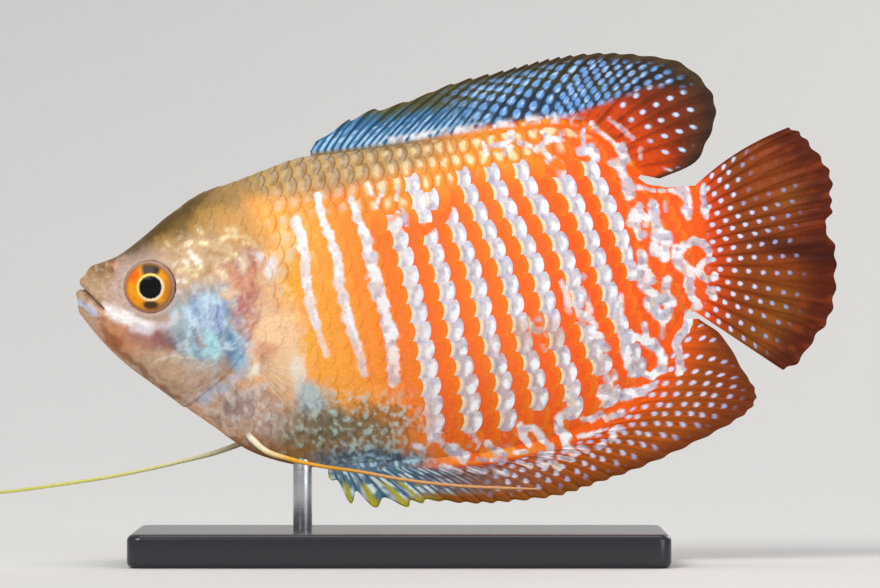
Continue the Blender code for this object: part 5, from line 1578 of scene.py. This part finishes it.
class GOURAMI_OT_pectorals(bpy.types.Operator):
    """The two clear pectoral fins, nine rays each"""

    bl_idname = "gourami.pectorals"
    bl_label = "Pectoral fins"

    def execute(self, context):
        made = web_finish()
        ray = np.linspace(0, 8, 110)[:, None]
        along = ray / 8
        out = np.linspace(-0.06, 1, 50)[None, :]
        off = ray - np.round(ray)
        fork = 0.22 * step_up(out, 0.4, 0.9)
        ridge = np.maximum(bump(off, fork, 0.15), bump(off, -fork, 0.15))
        half = 0.05 + 0.12 * ridge * (1 - 0.7 * out) - 0.03 * step_up(out, 0.9, 1)
        back = 0.50 - 0.06 * along
        down = 0.16 - 0.78 * along
        aside = np.sqrt(1 - back ** 2 - 0.4 * down ** 2)
        x, z = PECTORAL_ROOT
        stem = flank_y(x, z) + 0.48
        reach = (PECTORAL_LENGTH - 2.6 * along - (2 * along - 1) ** 2) * out
        px = x + 0.14 * (1 - 2 * along) + reach * back + 0.5 * out ** 2
        pz = z + 1.05 * (1 - 2 * along) + reach * down
        py = stem + reach * aside - 0.9 * out ** 2
        base = step_up(out, 0.12, 0.0) + 0 * ray
        colour = lay(tinted(px, "#F2D8B4"), base, "#E2B698")
        shine = np.clip(0.75 * ridge * (1 - 0.4 * out) + base, 0, 1)
        for name, side in (("left", -1), ("right", 1)):
            near = np.stack([px - half, side * py, pz], -1)
            far = np.stack([px + half, side * py, pz], -1)
            points, faces = two_faced(near, far)
            if side == 1:
                faces = faces[:, ::-1]
            both = np.concatenate([colour.reshape(-1, 3)] * 2)
            twice = np.concatenate([shine.ravel()] * 2)
            nodes = ("pectoral_" + name,)
            make_piece("pectoral_web_" + name, points, [faces], both, made, nodes, twice)
        return {"FINISHED"}


class GOURAMI_OT_feelers(bpy.types.Operator):
    """The two thread-like pelvic fins"""

    bl_idname = "gourami.feelers"
    bl_label = "Feelers"

    def execute(self, context):
        made = fin_finish("feeler_skin", 0.36)
        x, z = FEELER_ROOT_AT
        for name, side, route in (("feeler_left", -1, LEFT_FEELER), ("feeler_right", 1, RIGHT_FEELER)):
            start = (x, side * (flank_y(x, z) + 0.75), z)
            sunk = (x - 0.3, side * (flank_y(x, z) - 0.5), z + 0.3)
            bends = np.array([sunk, start, *route])
            length = np.append(0, np.cumsum(np.linalg.norm(np.diff(bends, axis=0), axis=1)))
            path = spline(bends, np.linspace(0, length[-1], 160), length)
            along = np.linspace(0, 1, len(path))
            radii = np.interp(along, (0, 0.03, 0.3, 0.9, 1), (0.46, 0.36, 0.19, 0.17, 0.1))
            points, faces = tube(path, radii)
            if side == -1:
                stops = (0.0, 0.05, 0.12, 0.2, 0.36, 0.5, 1.0)
                shades = ("#8A6A4A", "#EFE6D0", "#F0E0B0", "#EDB040", "#E8A030", "#DFA468", "#D69C6C")
            else:
                stops = (0.0, 0.15, 0.3, 0.6, 1.0)
                shades = ("#A8906C", "#CFC9A8", "#D8D49A", "#CFCA6C", "#C4BE60")
            tint = np.array([linear(shade) for shade in shades])
            ring = np.stack([np.interp(along, stops, tint[:, channel]) for channel in range(3)], -1)
            paint = np.concatenate([np.repeat(ring, TUBE_SIDES, axis=0), ring[:1], ring[-1:]])
            make_piece(name + "_thread", points, faces, paint, made, (name,))
        return {"FINISHED"}


# Stand

class StandSettings(bpy.types.PropertyGroup):
    base_colour: bpy.props.FloatVectorProperty(
        name="Base colour",
        description="Colour of the acrylic base",
        default=tuple(linear("#24262B")),
        subtype="COLOR",
    )


class GOURAMI_OT_stand(bpy.types.Operator):
    """The stand: a polished acrylic base and a brushed steel rod up into the belly"""

    bl_idname = "gourami.stand"
    bl_label = "Stand"

    def execute(self, context):
        settings = context.scene.gourami_stand
        low, high = (np.array(corner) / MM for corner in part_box("stand_base"))
        corner, edge = 1.4, 0.7
        half = (high - low) / 2
        middle = (high + low) / 2
        turn = np.linspace(0, 2 * math.pi, 97)[:-1]
        quarter = np.linspace(0, math.pi / 2, 9)
        inset = np.concatenate([[4.0], edge * (1 - np.sin(quarter)), edge * (1 - np.cos(quarter)), [4.0]])
        level = np.concatenate([
            [low[2]], low[2] + edge * (1 - np.cos(quarter)), high[2] - edge * (1 - np.sin(quarter)), [high[2]]
        ])
        side = np.sign(np.cos(turn)), np.sign(np.sin(turn))
        plan_x = middle[0] + side[0] * (half[0] - corner) + corner * np.cos(turn)
        plan_y = middle[1] + side[1] * (half[1] - corner) + corner * np.sin(turn)
        shrink_x = (half[0] - inset[:, None]) / half[0]
        shrink_y = (half[1] - inset[:, None]) / half[1]
        px = middle[0] + (plan_x - middle[0])[None, :] * shrink_x
        py = middle[1] + (plan_y - middle[1])[None, :] * shrink_y
        pz = level[:, None] + 0 * px
        points = np.stack([px, py, pz], -1).reshape(-1, 3)
        index = np.arange(px.size).reshape(px.shape)
        ring = np.concatenate([index, index[:, :1]], 1)
        tip = np.array([(middle[0], middle[1], low[2]), (middle[0], middle[1], high[2])])
        foot, head = px.size, px.size + 1
        caps = [
            np.stack([ring[0, 1:], ring[0, :-1], np.full(len(turn), foot)], 1),
            np.stack([ring[-1, :-1], ring[-1, 1:], np.full(len(turn), head)], 1),
        ]
        points = np.concatenate([points, tip]) - FISH_AT
        shade = np.tile(np.array(settings.base_colour), (len(points), 1))
        made = acrylic_finish(tuple(settings.base_colour))
        faces = [grid_faces(ring), *caps]
        make_piece("stand_plate", points, faces, shade, made, ("stand_base",))
        low, high = (np.array(corner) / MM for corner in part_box("stand_rod"))
        axis = (low + high) / 2
        rise = np.array([low[2] + 0.1, low[2] + 0.3, high[2] - 0.3, high[2] - 0.1])
        path = np.stack([np.full(4, axis[0]), np.full(4, axis[1]), rise], 1) - FISH_AT
        points, faces = tube(path, np.array([0.85, 1.0, 1.0, 0.85]), 48)
        grey = np.tile(linear("#B9BABB"), (len(points), 1))
        make_piece("stand_post", points, faces, grey, steel_finish(), ("stand_rod",))
        return {"FINISHED"}


# Stage

class StageSettings(bpy.types.PropertyGroup):
    distance: size_property(
        "Camera distance", "How far the camera stands from the fish's middle plane", 700, 100
    )
    width: size_property(
        "Framed width", "Width of the view at the fish's middle plane", 92.27, 10
    )
    floor_colour: bpy.props.FloatVectorProperty(
        name="Floor colour",
        description="Colour of the floor and backdrop",
        default=tuple(linear("#DEDCD8")),
        subtype="COLOR",
    )


VIEW_CENTRE = (38.4, 0.1)


class GOURAMI_OT_stage(bpy.types.Operator):
    """A pale floor that curves up to a backdrop, soft lights and the camera"""

    bl_idname = "gourami.stage"
    bl_label = "Stage"

    def execute(self, context):
        settings = context.scene.gourami_stage
        scene = context.scene
        turn = np.linspace(0, math.pi / 2, 24)
        run = np.concatenate([[-2500], 200 + 1800 * np.sin(turn), [2000]])
        rise = np.concatenate([[0], 1800 * (1 - np.cos(turn)), [3400]])
        wide = np.linspace(-2500, 2500, 9)
        points = np.stack(np.broadcast_arrays(wide[:, None], run[None, :], rise[None, :]), -1)
        mesh = bpy.data.meshes.new("backdrop")
        index = np.arange(points.shape[0] * points.shape[1]).reshape(points.shape[:2])
        mesh.from_pydata((points.reshape(-1, 3) * MM).tolist(), [], grid_faces(index)[:, ::-1].tolist())
        mesh.shade_smooth()
        mesh.materials.append(paper_finish(tuple(settings.floor_colour)))
        backdrop = bpy.data.objects.new("backdrop", mesh)
        scene.collection.objects.link(backdrop)
        target = (np.array([VIEW_CENTRE[0], 0, VIEW_CENTRE[1]]) + FISH_AT) * MM
        for name, place, size, power, colour in (
            ("key", (-0.45, -0.75, 0.75), 0.6, 7.5, (1.0, 0.98, 0.95)),
            ("fill", (0.8, -0.9, 0.3), 0.8, 4.0, (0.95, 0.97, 1.0)),
            ("top", (0.1, 0.15, 1.0), 0.7, 2.5, (1.0, 1.0, 1.0)),
            ("back", (0.5, 0.8, 0.5), 0.5, 2.0, (1.0, 0.97, 0.93)),
        ):
            light = bpy.data.lights.new(name, "AREA")
            light.shape = "DISK"
            light.size = size
            light.energy = power
            light.color = colour
            lamp = bpy.data.objects.new(name, light)
            lamp.location = place
            lamp.rotation_euler = look(place, target)
            scene.collection.objects.link(lamp)
        world = bpy.data.worlds.new("studio")
        world.use_nodes = True
        glow = world.node_tree.nodes["Background"]
        glow.inputs["Color"].default_value = (0.9, 0.93, 1.0, 1)
        glow.inputs["Strength"].default_value = 0.42
        scene.world = world
        scene.view_settings.view_transform = "Standard"
        camera = bpy.data.cameras.new("camera")
        camera.sensor_width = 36.0
        camera.lens = camera.sensor_width * settings.distance / settings.width
        camera.clip_start = 0.01
        camera.clip_end = 20
        view = bpy.data.objects.new("camera", camera)
        view.location = (target[0], -settings.distance, target[2])
        view.rotation_euler = (math.pi / 2, 0, 0)
        scene.collection.objects.link(view)
        scene.camera = view
        return {"FINISHED"}


def look(place, target):
    """The turn that points a lamp at a target."""
    dx, dy, dz = (np.array(target) - place).tolist()
    return (math.atan2(math.hypot(dx, dy), -dz), 0, math.atan2(dy, dx) - math.pi / 2)


# Panel and registration

STEPS = ("skin", "coat", "eyes", "fins", "pectorals", "feelers", "stand", "stage")
GROUPS = {
    "gourami_skin": SkinSettings,
    "gourami_coat": CoatSettings,
    "gourami_eye": EyeSettings,
    "gourami_fin": FinSettings,
    "gourami_stand": StandSettings,
    "gourami_stage": StageSettings,
}


class GOURAMI_PT_panel(bpy.types.Panel):
    """Lists the pieces' operators and their settings"""

    bl_label = "Gourami"
    bl_idname = "GOURAMI_PT_panel"
    bl_space_type = "VIEW_3D"
    bl_region_type = "UI"
    bl_category = "Gourami"

    def draw(self, context):
        for step in STEPS:
            self.layout.operator("gourami." + step)
        for name, group in GROUPS.items():
            box = self.layout.box()
            for value in group.__annotations__:
                box.prop(getattr(context.scene, name), value)


OPERATORS = (
    GOURAMI_OT_skin,
    GOURAMI_OT_coat,
    GOURAMI_OT_eyes,
    GOURAMI_OT_fins,
    GOURAMI_OT_pectorals,
    GOURAMI_OT_feelers,
    GOURAMI_OT_stand,
    GOURAMI_OT_stage,
)


def register():
    for group in GROUPS.values():
        bpy.utils.register_class(group)
    for name, group in GROUPS.items():
        setattr(bpy.types.Scene, name, bpy.props.PointerProperty(type=group))
    for kind in (*OPERATORS, GOURAMI_PT_panel):
        bpy.utils.register_class(kind)


def unregister():
    for kind in (GOURAMI_PT_panel, *OPERATORS):
        bpy.utils.unregister_class(kind)
    for name, group in GROUPS.items():
        delattr(bpy.types.Scene, name)
        bpy.utils.unregister_class(group)


def main():
    register()
    for step in STEPS:
        getattr(bpy.ops.gourami, step)()


if __name__ == "__main__":
    main()
